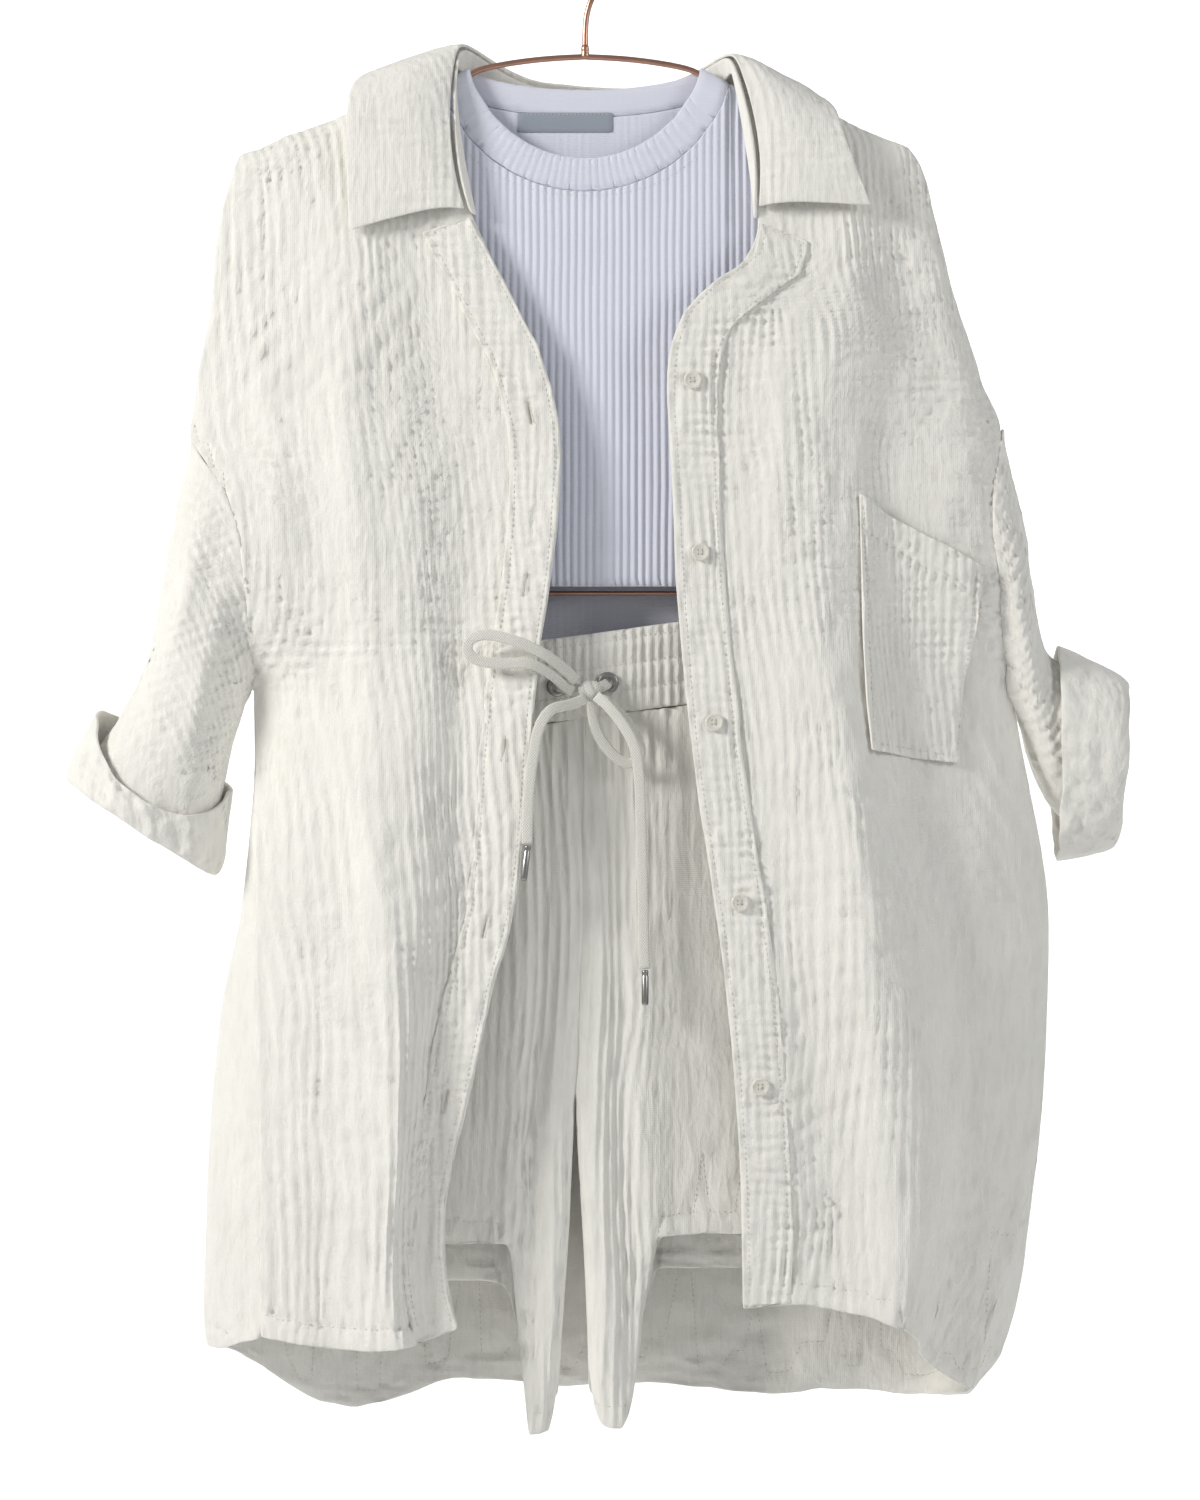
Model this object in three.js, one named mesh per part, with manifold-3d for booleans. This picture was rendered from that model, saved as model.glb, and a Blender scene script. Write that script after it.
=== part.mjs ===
// A lounge set on a wire hanger: an open double-gauze shirt, a ribbed knit top inside it, and gauze
// shorts that hang by their waistband from the hanger's bar. Millimetres, +Z up, front at -Y.
// Left and right are as seen from the front. The origin is the top of the hook's inside.
import * as THREE from 'three';
import { mergeVertices } from 'three/addons/utils/BufferGeometryUtils.js';
import Module from 'manifold-3d';

const wasm = await Module();
wasm.setup();

// Cloth and seams
const GAUZE = 1.6;
const BAND = 1.4;
const KNIT = 1.2;
const SEAM_GAP = 0.44;
const LAY_GAP = 0.35;
const UNDERARM_EASE = 1;
const PLACKET_WIDTH = 31;
const PLACKET_FOLD = 0.25;

// Hanger
const WIRE = 4;
const DROP_WIRE = 3;
const HOOK_RADIUS = 19;
const ARM_CREST_Z = -86;
const ARM_KNEE_X = 63;
const ARM_KNEE_Z = -93;
const ARM_SLOPE = 0.416;
const ARM_DIP = 5;
const ARM_TIP_LEFT = -196;
const ARM_TIP_RIGHT = 186;
const DROP_X = 146;
const BAR_HALF = 152;
const BAR_Z = -411;
const CLIP_X = 124;
const CLIP_WIDTH = 22;
const CLIP_REACH = 41;

// Ribbed top
const RIB_PITCH = 4.6;
const RIB_HEIGHT = 0.8;
const TOP_HALF_WIDTH = 178;
const TOP_SHOULDER_X = 150;
const TOP_UNDERARM_Z = -330;
const TOP_FRONT_HEM_Z = -407;
const TOP_BACK_HEM_Z = -452;
const NECK_DROP_FRONT = 65;
const NECK_DROP_BACK = 19;
const NECKBAND_WIDTH = 16;

// Shorts
const WAIST_HALF = 150;
const WAIST_BAND = 50;
const WAIST_Z = -434;
const GATHERS_A_SIDE = 26;
const GATHER_HEIGHT = 1.3;

// Buttons, eyelets and cord
const BUTTON_RADIUS = 5.6;
const BUTTON_THICK = 2.6;
const BUTTONHOLE = 13;
const CORD_WIDTH = 6.5;
const CORD_THICK = 1.8;

const IVORY = { color: 0xefeee8, roughness: 0.95, metalness: 0 };
const KNIT_WHITE = { color: 0xe0e2f0, roughness: 0.9, metalness: 0 };
const SLATE = { color: 0x9aa1ac, roughness: 0.8, metalness: 0 };
const ROSE_WIRE = { color: 0xc79a86, roughness: 0.3, metalness: 1 };
const STEEL = { color: 0x9b9a98, roughness: 0.3, metalness: 1 };
const SHELL_WHITE = { color: 0xeceae2, roughness: 0.35, metalness: 0 };

// The shirt's left front: one row for each level from the shoulder seam down to the hem. The edge is
// the neckline, then the placket's edge; the outer side is the shoulder seam, armhole and side seam.
const LEFT_FRONT = [
  { edgeX: -84, edgeY: 0, edgeZ: -95.5, outerX: -209, outerY: 0, outerZ: -147 },
  { edgeX: -84, edgeY: -8.5, edgeZ: -103, outerX: -214, outerY: 0, outerZ: -156 },
  { edgeX: -80, edgeY: -11, edgeZ: -128, outerX: -220, outerY: 0, outerZ: -177 },
  { edgeX: -74, edgeY: -13, edgeZ: -160, outerX: -223, outerY: 0, outerZ: -205 },
  { edgeX: -69, edgeY: -15, edgeZ: -185, outerX: -226, outerY: 0, outerZ: -235 },
  { edgeX: -49, edgeY: -17, edgeZ: -222, outerX: -231, outerY: 0, outerZ: -268 },
  { edgeX: -28, edgeY: -20, edgeZ: -263, outerX: -239, outerY: 0, outerZ: -316 },
  { edgeX: -16, edgeY: -23, edgeZ: -309, outerX: -216, outerY: -19, outerZ: -350 },
  { edgeX: -16, edgeY: -27, edgeZ: -353, outerX: -205, outerY: -24, outerZ: -400 },
  { edgeX: -20, edgeY: -33, edgeZ: -402, outerX: -202, outerY: -15, outerZ: -445 },
  { edgeX: -26, edgeY: -38, edgeZ: -440, outerX: -200, outerY: 0, outerZ: -470 },
  { edgeX: -33, edgeY: -46, edgeZ: -506, outerX: -199, outerY: -12, outerZ: -530 },
  { edgeX: -41, edgeY: -51, edgeZ: -598, outerX: -197, outerY: -24, outerZ: -610 },
  { edgeX: -54, edgeY: -52, edgeZ: -645, outerX: -196, outerY: -28, outerZ: -655 },
  { edgeX: -67, edgeY: -50, edgeZ: -704, outerX: -195, outerY: -32, outerZ: -712 },
  { edgeX: -83, edgeY: -46, edgeZ: -774, outerX: -194, outerY: -35, outerZ: -780 },
  { edgeX: -81, edgeY: -44, edgeZ: -830, outerX: -194, outerY: -36, outerZ: -834 },
  { edgeX: -75, edgeY: -44, edgeZ: -852, outerX: -194, outerY: -36, outerZ: -857 },
];
// The right front, whose edge turns out like a small lapel under the collar.
const RIGHT_FRONT = [
  { edgeX: 94, edgeY: 0, edgeZ: -99.5, outerX: 198, outerY: 0, outerZ: -143 },
  { edgeX: 94, edgeY: -8.5, edgeZ: -107, outerX: 204, outerY: 0, outerZ: -153 },
  { edgeX: 98, edgeY: -11, edgeZ: -130, outerX: 210, outerY: 0, outerZ: -180 },
  { edgeX: 103, edgeY: -13, edgeZ: -162, outerX: 217, outerY: 0, outerZ: -210 },
  { edgeX: 106, edgeY: -16, edgeZ: -189, outerX: 226, outerY: 0, outerZ: -238 },
  { edgeX: 101, edgeY: -24, edgeZ: -210, outerX: 233, outerY: 0, outerZ: -262 },
  { edgeX: 78, edgeY: -30, edgeZ: -225, outerX: 241, outerY: 0, outerZ: -286 },
  { edgeX: 59, edgeY: -29, edgeZ: -243, outerX: 252, outerY: 0, outerZ: -311 },
  { edgeX: 50, edgeY: -27, edgeZ: -280, outerX: 246, outerY: -8, outerZ: -348 },
  { edgeX: 52, edgeY: -29, edgeZ: -325, outerX: 250, outerY: -10, outerZ: -395 },
  { edgeX: 54, edgeY: -33, edgeZ: -378, outerX: 254, outerY: -6, outerZ: -440 },
  { edgeX: 57, edgeY: -38, edgeZ: -428, outerX: 257, outerY: 2, outerZ: -470 },
  { edgeX: 64, edgeY: -47, edgeZ: -510, outerX: 266, outerY: -3, outerZ: -522 },
  { edgeX: 76, edgeY: -54, edgeZ: -590, outerX: 279, outerY: -4, outerZ: -592 },
  { edgeX: 85, edgeY: -57, edgeZ: -660, outerX: 279, outerY: -4, outerZ: -662 },
  { edgeX: 92, edgeY: -57, edgeZ: -748, outerX: 273, outerY: -4, outerZ: -750 },
  { edgeX: 94, edgeY: -55, edgeZ: -806, outerX: 257, outerY: -4, outerZ: -812 },
  { edgeX: 94, edgeY: -55, edgeZ: -838, outerX: 233, outerY: -4, outerZ: -893 },
];
const LEFT_ARMHOLE = { top: 6, bottom: 10 };
const RIGHT_ARMHOLE = { top: 7, bottom: 11 };

// Large folds: where the crest runs across a panel at its shoulder, chest, waist and hem, from 0 at
// the edge to 1 at the outer side, its half width, and how far it stands out and leans at each end.
const LEFT_FRONT_FOLDS = [
  { name: 'roll', shoulder: 0.46, chest: 0.56, waist: 0.5, hem: 0.38, half: 0.3, outTop: 2, outHem: 20,
    leanTop: 2, leanHem: 10 },
  { name: 'valley', shoulder: 0.1, chest: 0.28, waist: 0.18, hem: 0.06, half: 0.2, outTop: -1,
    outHem: -8, leanTop: 0, leanHem: 0 },
  { name: 'side', shoulder: 0.9, chest: 0.88, waist: 0.86, hem: 0.8, half: 0.12, outTop: 1, outHem: 6,
    leanTop: 0, leanHem: 3 },
];
const RIGHT_FRONT_FOLDS = [
  { name: 'roll', shoulder: 0.5, chest: 0.44, waist: 0.42, hem: 0.6, half: 0.26, outTop: 2, outHem: 22,
    leanTop: 3, leanHem: 14 },
  { name: 'recess', shoulder: 0.7, chest: 0.68, waist: 0.68, hem: 0.86, half: 0.2, outTop: 0,
    outHem: -12, leanTop: 0, leanHem: -8 },
  { name: 'arm edge', shoulder: 0.9, chest: 0.9, waist: 0.95, hem: 1, half: 0.1, outTop: 5, outHem: 0,
    leanTop: 5, leanHem: 0 },
];
const BACK_FOLDS = [
  { name: 'left', shoulder: 0.3, chest: 0.27, waist: 0.25, hem: 0.22, half: 0.1, outTop: 0, outHem: 12,
    leanTop: 0, leanHem: -4 },
  { name: 'inner left', shoulder: 0.42, chest: 0.41, waist: 0.4, hem: 0.4, half: 0.08, outTop: 1,
    outHem: -11, leanTop: 0, leanHem: 0 },
  { name: 'middle', shoulder: 0.55, chest: 0.55, waist: 0.55, hem: 0.56, half: 0.1, outTop: 2,
    outHem: 12, leanTop: 0, leanHem: 3 },
  { name: 'inner right', shoulder: 0.68, chest: 0.69, waist: 0.7, hem: 0.71, half: 0.08, outTop: 0,
    outHem: -10, leanTop: 0, leanHem: 0 },
  { name: 'right', shoulder: 0.78, chest: 0.8, waist: 0.82, hem: 0.84, half: 0.1, outTop: 1,
    outHem: 10, leanTop: 0, leanHem: 4 },
];
// The shirt's back, one row for each row of the fronts: how far it hangs behind the hanger, how far
// it reaches past its side seams, and the slope of the shoulders still left in it.
const BACK = [
  { backY: 0, pastLeft: 0, pastRight: 0, slope: 1 },
  { backY: 12.6, pastLeft: 1, pastRight: 1, slope: 1 },
  { backY: 14, pastLeft: 2, pastRight: 2, slope: 0.95 },
  { backY: 14, pastLeft: 2, pastRight: 2, slope: 0.87 },
  { backY: 15, pastLeft: 2, pastRight: 2, slope: 0.78 },
  { backY: 17, pastLeft: 2, pastRight: 2, slope: 0.68 },
  { backY: 19, pastLeft: 0, pastRight: 2, slope: 0.58 },
  { backY: 20, pastLeft: 0, pastRight: 0, slope: 0.5 },
  { backY: 22, pastLeft: 0, pastRight: 0, slope: 0.43 },
  { backY: 23, pastLeft: 0, pastRight: 0, slope: 0.36 },
  { backY: 24, pastLeft: 2, pastRight: 0, slope: 0.29 },
  { backY: 26, pastLeft: 5, pastRight: 1, slope: 0.22 },
  { backY: 29, pastLeft: 18, pastRight: 2, slope: 0.16 },
  { backY: 31, pastLeft: 30, pastRight: 3, slope: 0.1 },
  { backY: 33, pastLeft: 38, pastRight: 3, slope: 0.05 },
  { backY: 36, pastLeft: 44, pastRight: 3, slope: 0 },
  { backY: 38, pastLeft: 45, pastRight: 3, slope: 0 },
  { backY: 40, pastLeft: 43, pastRight: 3, slope: 0 },
];
// The back hem hangs below the fronts, in waves.
const BACK_HEM = [
  { x: -250, z: -866 },
  { x: -215, z: -870 },
  { x: -165, z: -909 },
  { x: -110, z: -906 },
  { x: -82, z: -886 },
  { x: -30, z: -899 },
  { x: 45, z: -892 },
  { x: 105, z: -903 },
  { x: 145, z: -894 },
  { x: 190, z: -903 },
  { x: 240, z: -896 },
];
// The collar along the neck, from the left front round the back to the right front: the neckline
// seam, the crease where the collar turns over, and the leaf's outer edge.
const COLLAR = [
  { seamX: -68, seamY: -16.5, seamZ: -184, foldX: -73, foldY: -20, foldZ: -180, leafX: -142,
    leafY: -22, leafZ: -193 },
  { seamX: -73, seamY: -15, seamZ: -160, foldX: -80, foldY: -20, foldZ: -152, leafX: -143, leafY: -22,
    leafZ: -150 },
  { seamX: -79, seamY: -12, seamZ: -127, foldX: -82, foldY: -17, foldZ: -118, leafX: -143, leafY: -21,
    leafZ: -117 },
  { seamX: -82, seamY: -3, seamZ: -93.5, foldX: -79, foldY: -6, foldZ: -87, leafX: -137, leafY: -9,
    leafZ: -100 },
  { seamX: -78, seamY: 7.5, seamZ: -99, foldX: -73, foldY: 7, foldZ: -77.5, leafX: -118, leafY: 16,
    leafZ: -94 },
  { seamX: -62, seamY: 12, seamZ: -115, foldX: -58, foldY: 13, foldZ: -86, leafX: -84, leafY: 27,
    leafZ: -122 },
  { seamX: -35, seamY: 13.5, seamZ: -126, foldX: -32, foldY: 17, foldZ: -99, leafX: -44, leafY: 28,
    leafZ: -152 },
  { seamX: 5, seamY: 14, seamZ: -129, foldX: 5, foldY: 19, foldZ: -102, leafX: 5, leafY: 29, leafZ: -164 },
  { seamX: 45, seamY: 13.5, seamZ: -126, foldX: 38, foldY: 18, foldZ: -103, leafX: 54, leafY: 29,
    leafZ: -156 },
  { seamX: 71, seamY: 12, seamZ: -116, foldX: 63, foldY: 13, foldZ: -96, leafX: 98, leafY: 27,
    leafZ: -128 },
  { seamX: 88, seamY: 7.5, seamZ: -103, foldX: 84, foldY: 7, foldZ: -84, leafX: 133, leafY: 16,
    leafZ: -106 },
  { seamX: 92, seamY: -3, seamZ: -97.5, foldX: 92, foldY: -6, foldZ: -89, leafX: 150, leafY: -9,
    leafZ: -117 },
  { seamX: 97, seamY: -12, seamZ: -129, foldX: 101, foldY: -17, foldZ: -118, leafX: 156, leafY: -21,
    leafZ: -136 },
  { seamX: 102, seamY: -15, seamZ: -161, foldX: 106, foldY: -20, foldZ: -150, leafX: 164, leafY: -22,
    leafZ: -158 },
  { seamX: 105, seamY: -17.5, seamZ: -187, foldX: 105, foldY: -21, foldZ: -179, leafX: 172, leafY: -23,
    leafZ: -178 },
];
// Sleeve rings from the armhole down: the outer side, the under side, the middle and half depth, and
// how far the ring's front drops. The last rows turn up over the outside as the rolled cuff.
const LEFT_SLEEVE = [
  { topX: -247, topZ: -358, underX: -207, underZ: -480, midY: 0, depth: 27, drop: 0 },
  { topX: -256, topZ: -408, underX: -210, underZ: -489, midY: 1, depth: 32, drop: 0 },
  { topX: -264, topZ: -450, underX: -214, underZ: -503, midY: 2, depth: 34, drop: 0 },
  { topX: -284, topZ: -489, underX: -221, underZ: -534, midY: 2, depth: 34, drop: 0 },
  { topX: -306, topZ: -521, underX: -227, underZ: -572, midY: 2, depth: 35, drop: 0 },
  { topX: -314, topZ: -526, underX: -225, underZ: -584, midY: 2, depth: 38.5, drop: 0 },
  { topX: -316, topZ: -520, underX: -219, underZ: -580, midY: 2, depth: 42, drop: 0 },
  { topX: -307, topZ: -502, underX: -217, underZ: -558, midY: 2, depth: 43, drop: 10 },
  { topX: -295, topZ: -481, underX: -214, underZ: -530, midY: 2, depth: 41, drop: 34 },
];
const RIGHT_SLEEVE = [
  { topX: 263, topZ: -352, underX: 262, underZ: -484, midY: 12, depth: 26, drop: 0 },
  { topX: 271, topZ: -402, underX: 268, underZ: -502, midY: 19, depth: 29, drop: 0 },
  { topX: 278, topZ: -446, underX: 278, underZ: -530, midY: 24, depth: 31, drop: 0 },
  { topX: 299, topZ: -453, underX: 294, underZ: -552, midY: 25, depth: 33, drop: 0 },
  { topX: 325, topZ: -468, underX: 317, underZ: -557, midY: 25, depth: 34, drop: 0 },
  { topX: 332, topZ: -466, underX: 325, underZ: -562, midY: 25, depth: 37, drop: 0 },
  { topX: 328, topZ: -460, underX: 321, underZ: -568, midY: 25, depth: 41, drop: 0 },
  { topX: 308, topZ: -450, underX: 303, underZ: -572, midY: 25, depth: 42, drop: 0 },
  { topX: 288, topZ: -441, underX: 288, underZ: -574, midY: 25, depth: 41, drop: 0 },
];
// The shorts' legs: the middle edge is the centre seam down to the crotch, then the inner leg, whose
// end hangs low in a narrow tail; the outer side is the side seam.
const LEFT_LEG_FRONT = [
  { edgeX: 0, edgeY: -14, edgeZ: -486, outerX: -149, outerY: 0, outerZ: -493 },
  { edgeX: -1, edgeY: -21, edgeZ: -560, outerX: -150, outerY: 0, outerZ: -560 },
  { edgeX: -3, edgeY: -24, edgeZ: -640, outerX: -152, outerY: 0, outerZ: -635 },
  { edgeX: -6, edgeY: -16, edgeZ: -716, outerX: -154, outerY: 0, outerZ: -700 },
  { edgeX: -11, edgeY: -14, edgeZ: -800, outerX: -156, outerY: 0, outerZ: -762 },
  { edgeX: -17, edgeY: -12, edgeZ: -895, outerX: -157, outerY: 0, outerZ: -812 },
];
const RIGHT_LEG_FRONT = [
  { edgeX: 0, edgeY: -14, edgeZ: -486, outerX: 149, outerY: 0, outerZ: -475 },
  { edgeX: -1, edgeY: -21, edgeZ: -560, outerX: 150, outerY: 0, outerZ: -555 },
  { edgeX: -3, edgeY: -24, edgeZ: -640, outerX: 152, outerY: 0, outerZ: -632 },
  { edgeX: -6, edgeY: -16, edgeZ: -716, outerX: 155, outerY: 0, outerZ: -700 },
  { edgeX: 0, edgeY: -14, edgeZ: -800, outerX: 158, outerY: 0, outerZ: -760 },
  { edgeX: 3, edgeY: -12, edgeZ: -893, outerX: 160, outerY: 0, outerZ: -808 },
];
const LEG_FOLDS = [
  { name: 'tail', shoulder: 0.06, chest: 0.06, waist: 0.07, hem: 0.09, half: 0.11, outTop: 0,
    outHem: 9, leanTop: 0, leanHem: 0 },
  { name: 'inner', shoulder: 0.25, chest: 0.25, waist: 0.26, hem: 0.3, half: 0.12, outTop: 1,
    outHem: 7, leanTop: 0, leanHem: 2 },
  { name: 'outer', shoulder: 0.6, chest: 0.6, waist: 0.6, hem: 0.6, half: 0.2, outTop: 1, outHem: 8,
    leanTop: 0, leanHem: 2 },
];
// How the legs' hems run: the tail's end, then the level part.
const LEG_HEMS = {
  leftFront: { tail: -918, level: -803, from: 0.12, to: 0.2 },
  rightFront: { tail: -914, level: -797, from: 0.14, to: 0.25 },
  leftBack: { tail: -900, level: -828, from: 0.1, to: 0.22 },
  rightBack: { tail: -900, level: -820, from: 0.12, to: 0.25 },
};
const LEG_BACK_DEPTH = 11;

const vec = (x, y, z) => new THREE.Vector3(x, y, z);
const mix = (a, b, t) => a + (b - a) * t;
const clamp = (t, low, high) => Math.max(low, Math.min(high, t));
const ease = (t) => {
  const c = clamp(t, 0, 1);
  return c * c * (3 - 2 * c);
};
// A soft ridge: 1 on its crest, 0 from one half width away.
const hump = (t) => (Math.abs(t) < 1 ? 0.5 + 0.5 * Math.cos(Math.PI * t) : 0);

// The smooth curve through values at places, read at one place.
function curveAt(places, values, at) {
  const last = places.length - 1;
  let i = 0;
  while (i < last - 1 && at > places[i + 1]) i++;
  const slope = (k) => {
    const a = Math.max(0, k - 1);
    const b = Math.min(last, k + 1);
    const left = k > a ? (values[k] - values[a]) / (places[k] - places[a]) : 0;
    const right = b > k ? (values[b] - values[k]) / (places[b] - places[k]) : 0;
    if (k === a) return right;
    if (k === b) return left;
    const before = places[k] - places[a];
    const after = places[b] - places[k];
    return (left * after + right * before) / (before + after);
  };
  const span = places[i + 1] - places[i];
  const t = (at - places[i]) / span;
  const h = t * t * (3 - 2 * t);
  const ramps = slope(i) * t * (1 - t) ** 2 - slope(i + 1) * t * t * (1 - t);
  return mix(values[i], values[i + 1], h) + span * ramps;
}

// Gives every row of a table its distance down the cloth, which spaces the smooth curves.
function measured(rows) {
  let down = 0;
  rows.forEach((row, i) => {
    if (i > 0) {
      const above = rows[i - 1];
      const edge = Math.hypot(row.edgeX - above.edgeX, row.edgeY - above.edgeY, row.edgeZ - above.edgeZ);
      const outer = Math.hypot(row.outerX - above.outerX, row.outerY - above.outerY,
        row.outerZ - above.outerZ);
      down += 0.5 * (edge + outer);
    }
    row.down = down;
  });
  return rows;
}

// One column of a table between its rows: s is a row number, with a fraction.
function columnAt(rows, column, s) {
  const i = clamp(Math.floor(s), 0, rows.length - 2);
  const at = mix(rows[i].down, rows[i + 1].down, s - i);
  return curveAt(rows.map((row) => row.down), rows.map((row) => row[column]), at);
}

function edgeAt(rows, side, s) {
  return vec(columnAt(rows, side + 'X', s), columnAt(rows, side + 'Y', s), columnAt(rows, side + 'Z', s));
}

// Where a fold's crest runs across its panel, at a level from 0 at the shoulder to 1 at the hem.
function crestAt(fold, down) {
  return curveAt([0, 0.25, 0.6, 1], [fold.shoulder, fold.chest, fold.waist, fold.hem], down);
}

// Adds the folds of a panel to a point. How far down the panel it lies runs from 0 to 1.
function addFolds(point, folds, down, u, facing) {
  for (const fold of folds) {
    const ridge = hump((u - crestAt(fold, down)) / fold.half) * ease(down / 0.12) * ease((1 - u) / 0.12);
    point.x += mix(fold.leanTop, fold.leanHem, down) * ridge;
    point.y += facing * mix(fold.outTop, fold.outHem, down) * ridge;
  }
  return point;
}

measured(LEFT_FRONT);
measured(RIGHT_FRONT);
for (const rows of [LEFT_LEG_FRONT, RIGHT_LEG_FRONT]) measured(rows);
BACK.forEach((row, i) => {
  row.down = 0.5 * (LEFT_FRONT[i].down + RIGHT_FRONT[i].down);
});
const LAST_ROW = LEFT_FRONT.length - 1;
const FINE_FROM = 6;
const FINE_TO = 15;

// Row numbers of the shirt's panels, with half steps from the armhole down.
function shirtLevels() {
  const levels = [];
  for (let i = 0; i < LAST_ROW; i++) {
    levels.push(i);
    if (i >= FINE_FROM && i <= FINE_TO) levels.push(i + 0.5);
  }
  levels.push(LAST_ROW);
  return levels;
}

// A point of a shirt front, from 0 at the placket's edge to 1 at the armhole and side seam.
function frontPoint(front, s, u) {
  const { rows, folds, hemLift } = front;
  const edge = edgeAt(rows, 'edge', s);
  const outer = edgeAt(rows, 'outer', s);
  const down = columnAt(rows, 'down', s) / rows[LAST_ROW].down;
  const point = vec(mix(edge.x, outer.x, u), mix(edge.y, outer.y, u ** 3), mix(edge.z, outer.z, u));
  point.z += hemLift * Math.sin(Math.PI * u) * ease((down - 0.4) / 0.6);
  const folded = addFolds(point.clone(), folds, down, u, -1);
  return point.lerp(folded, mix(PLACKET_FOLD, 1,
    ease((u * edge.distanceTo(outer)) / (1.6 * PLACKET_WIDTH))));
}
const leftFront = { rows: LEFT_FRONT, folds: LEFT_FRONT_FOLDS, hemLift: -9, hole: LEFT_ARMHOLE };
const rightFront = { rows: RIGHT_FRONT, folds: RIGHT_FRONT_FOLDS, hemLift: 22, hole: RIGHT_ARMHOLE };

const SHOULDER_LEFT_Z = LEFT_FRONT[0].edgeZ;
const SHOULDER_RIGHT_Z = RIGHT_FRONT[0].edgeZ;
const NECK_MIDDLE_X = 0.5 * (LEFT_FRONT[0].edgeX + RIGHT_FRONT[0].edgeX);
const NECK_HALF = 0.5 * (RIGHT_FRONT[0].edgeX - LEFT_FRONT[0].edgeX);
const BACK_NECK_DROP = 33;
const BACK_NECK_Y = 14;
const BACK_ARMHOLE = { leftX: -3, leftY: 40, rightX: -14, rightY: 34 };

// How deep the back neckline is cut at a place across it: 1 in the middle, 0 at the shoulders.
const neckDip = (x) => Math.max(0, 1 - ((x - NECK_MIDDLE_X) / NECK_HALF) ** 2) ** 0.7;

// Height of the shoulder seams at a place across the back.
function shoulderZ(x) {
  const left = LEFT_FRONT[0];
  const right = RIGHT_FRONT[0];
  if (x < left.edgeX) return mix(left.edgeZ, left.outerZ, (x - left.edgeX) / (left.outerX - left.edgeX));
  if (x > right.edgeX) return mix(right.edgeZ, right.outerZ,
    (x - right.edgeX) / (right.outerX - right.edgeX));
  return mix(SHOULDER_LEFT_Z, SHOULDER_RIGHT_Z, (x - left.edgeX) / (right.edgeX - left.edgeX));
}

// The back's own seam point beside a front: the same curve, but behind the arm in the armhole.
function backSeam(front, s, offsetX, offsetY) {
  const { top, bottom } = front.hole;
  const inside = clamp((s - top) / (bottom - top), 0, 1);
  const open = Math.sin(Math.PI * inside);
  return edgeAt(front.rows, 'outer', s).add(vec(offsetX * open, offsetY * open, 0));
}

const BACK_PLACES = [0, 0.07, 0.16, 0.5, 0.86, 0.94, 1];
const BACK_TURN = 30;
const BACK_TUCK = 5;

function backPoint(s, u) {
  const left = backSeam(leftFront, s, BACK_ARMHOLE.leftX, BACK_ARMHOLE.leftY);
  const right = backSeam(rightFront, s, BACK_ARMHOLE.rightX, BACK_ARMHOLE.rightY);
  const backY = columnAt(BACK, 'backY', s);
  const turnLeft = left.x + BACK_TUCK - columnAt(BACK, 'pastLeft', s);
  const turnRight = right.x - BACK_TUCK + columnAt(BACK, 'pastRight', s);
  const xs = [left.x, turnLeft, turnLeft + BACK_TURN, 0.5 * (turnLeft + turnRight)];
  xs.push(turnRight - BACK_TURN, turnRight, right.x);
  const ys = [left.y, mix(left.y, backY, 0.5), mix(left.y, backY, 0.9), backY];
  ys.push(mix(right.y, backY, 0.9), mix(right.y, backY, 0.5), right.y);
  const x = curveAt(BACK_PLACES, xs, u);
  const down = columnAt(BACK, 'down', s) / BACK[LAST_ROW].down;
  const slope = columnAt(BACK, 'slope', s);
  const side = mix(left.z, right.z, u);
  const shoulder = shoulderZ(x) - mix(LEFT_FRONT[0].outerZ, RIGHT_FRONT[0].outerZ, u);
  const dip = neckDip(x);
  const inset = ease(Math.min(u, 1 - u) / 0.05);
  const hem = curveAt(BACK_HEM.map((row) => row.x), BACK_HEM.map((row) => row.z), x);
  let z = side + slope * (shoulder * (s > 0 ? inset : 1) - dip * BACK_NECK_DROP);
  z = mix(z, hem, inset * ease((down - 0.8) / 0.2));
  const point = vec(x, curveAt(BACK_PLACES, ys, u) + dip ** 0.4 * BACK_NECK_Y * Math.exp(-0.9 * s), z);
  const folded = addFolds(point.clone(), BACK_FOLDS, down, u, 1);
  return point.lerp(folded, inset);
}

// Across a shirt back, columns lie closer where it turns round the sides.
const BACK_COLUMNS = [0, 0.035, 0.07, 0.115, 0.16, 0.23, 0.29, 0.35, 0.357, 0.41, 0.48, 0.55, 0.63,
  0.694, 0.703, 0.78, 0.86, 0.91, 0.95, 1];
const spread = (count, low = 0, high = 1) => Array.from({ length: count + 1 }, (_, i) => mix(low, high,
  i / count));
const gridOf = (levels, columns, pointAt) => levels.map((s) => columns.map((u) => pointAt(s, u)));

// Directions that point out of a grid of cloth at each of its points.
function normalsOf(grid, closed) {
  const rows = grid.length;
  const columns = grid[0].length;
  return grid.map((row, i) => row.map((_, j) => {
    const next = closed ? (j + 1) % columns : Math.min(j + 1, columns - 1);
    const before = closed ? (j - 1 + columns) % columns : Math.max(j - 1, 0);
    const across = grid[i][next].clone().sub(grid[i][before]);
    const down = grid[Math.min(i + 1, rows - 1)][j].clone().sub(grid[Math.max(i - 1, 0)][j]);
    return across.cross(down).normalize();
  }));
}

function geometryOf(points, faces) {
  const geometry = new THREE.BufferGeometry();
  geometry.setAttribute('position', new THREE.Float32BufferAttribute(points.flatMap((p) => [p.x, p.y,
    p.z]), 3));
  geometry.setIndex(faces.flat());
  geometry.computeVertexNormals();
  return geometry;
}

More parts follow.
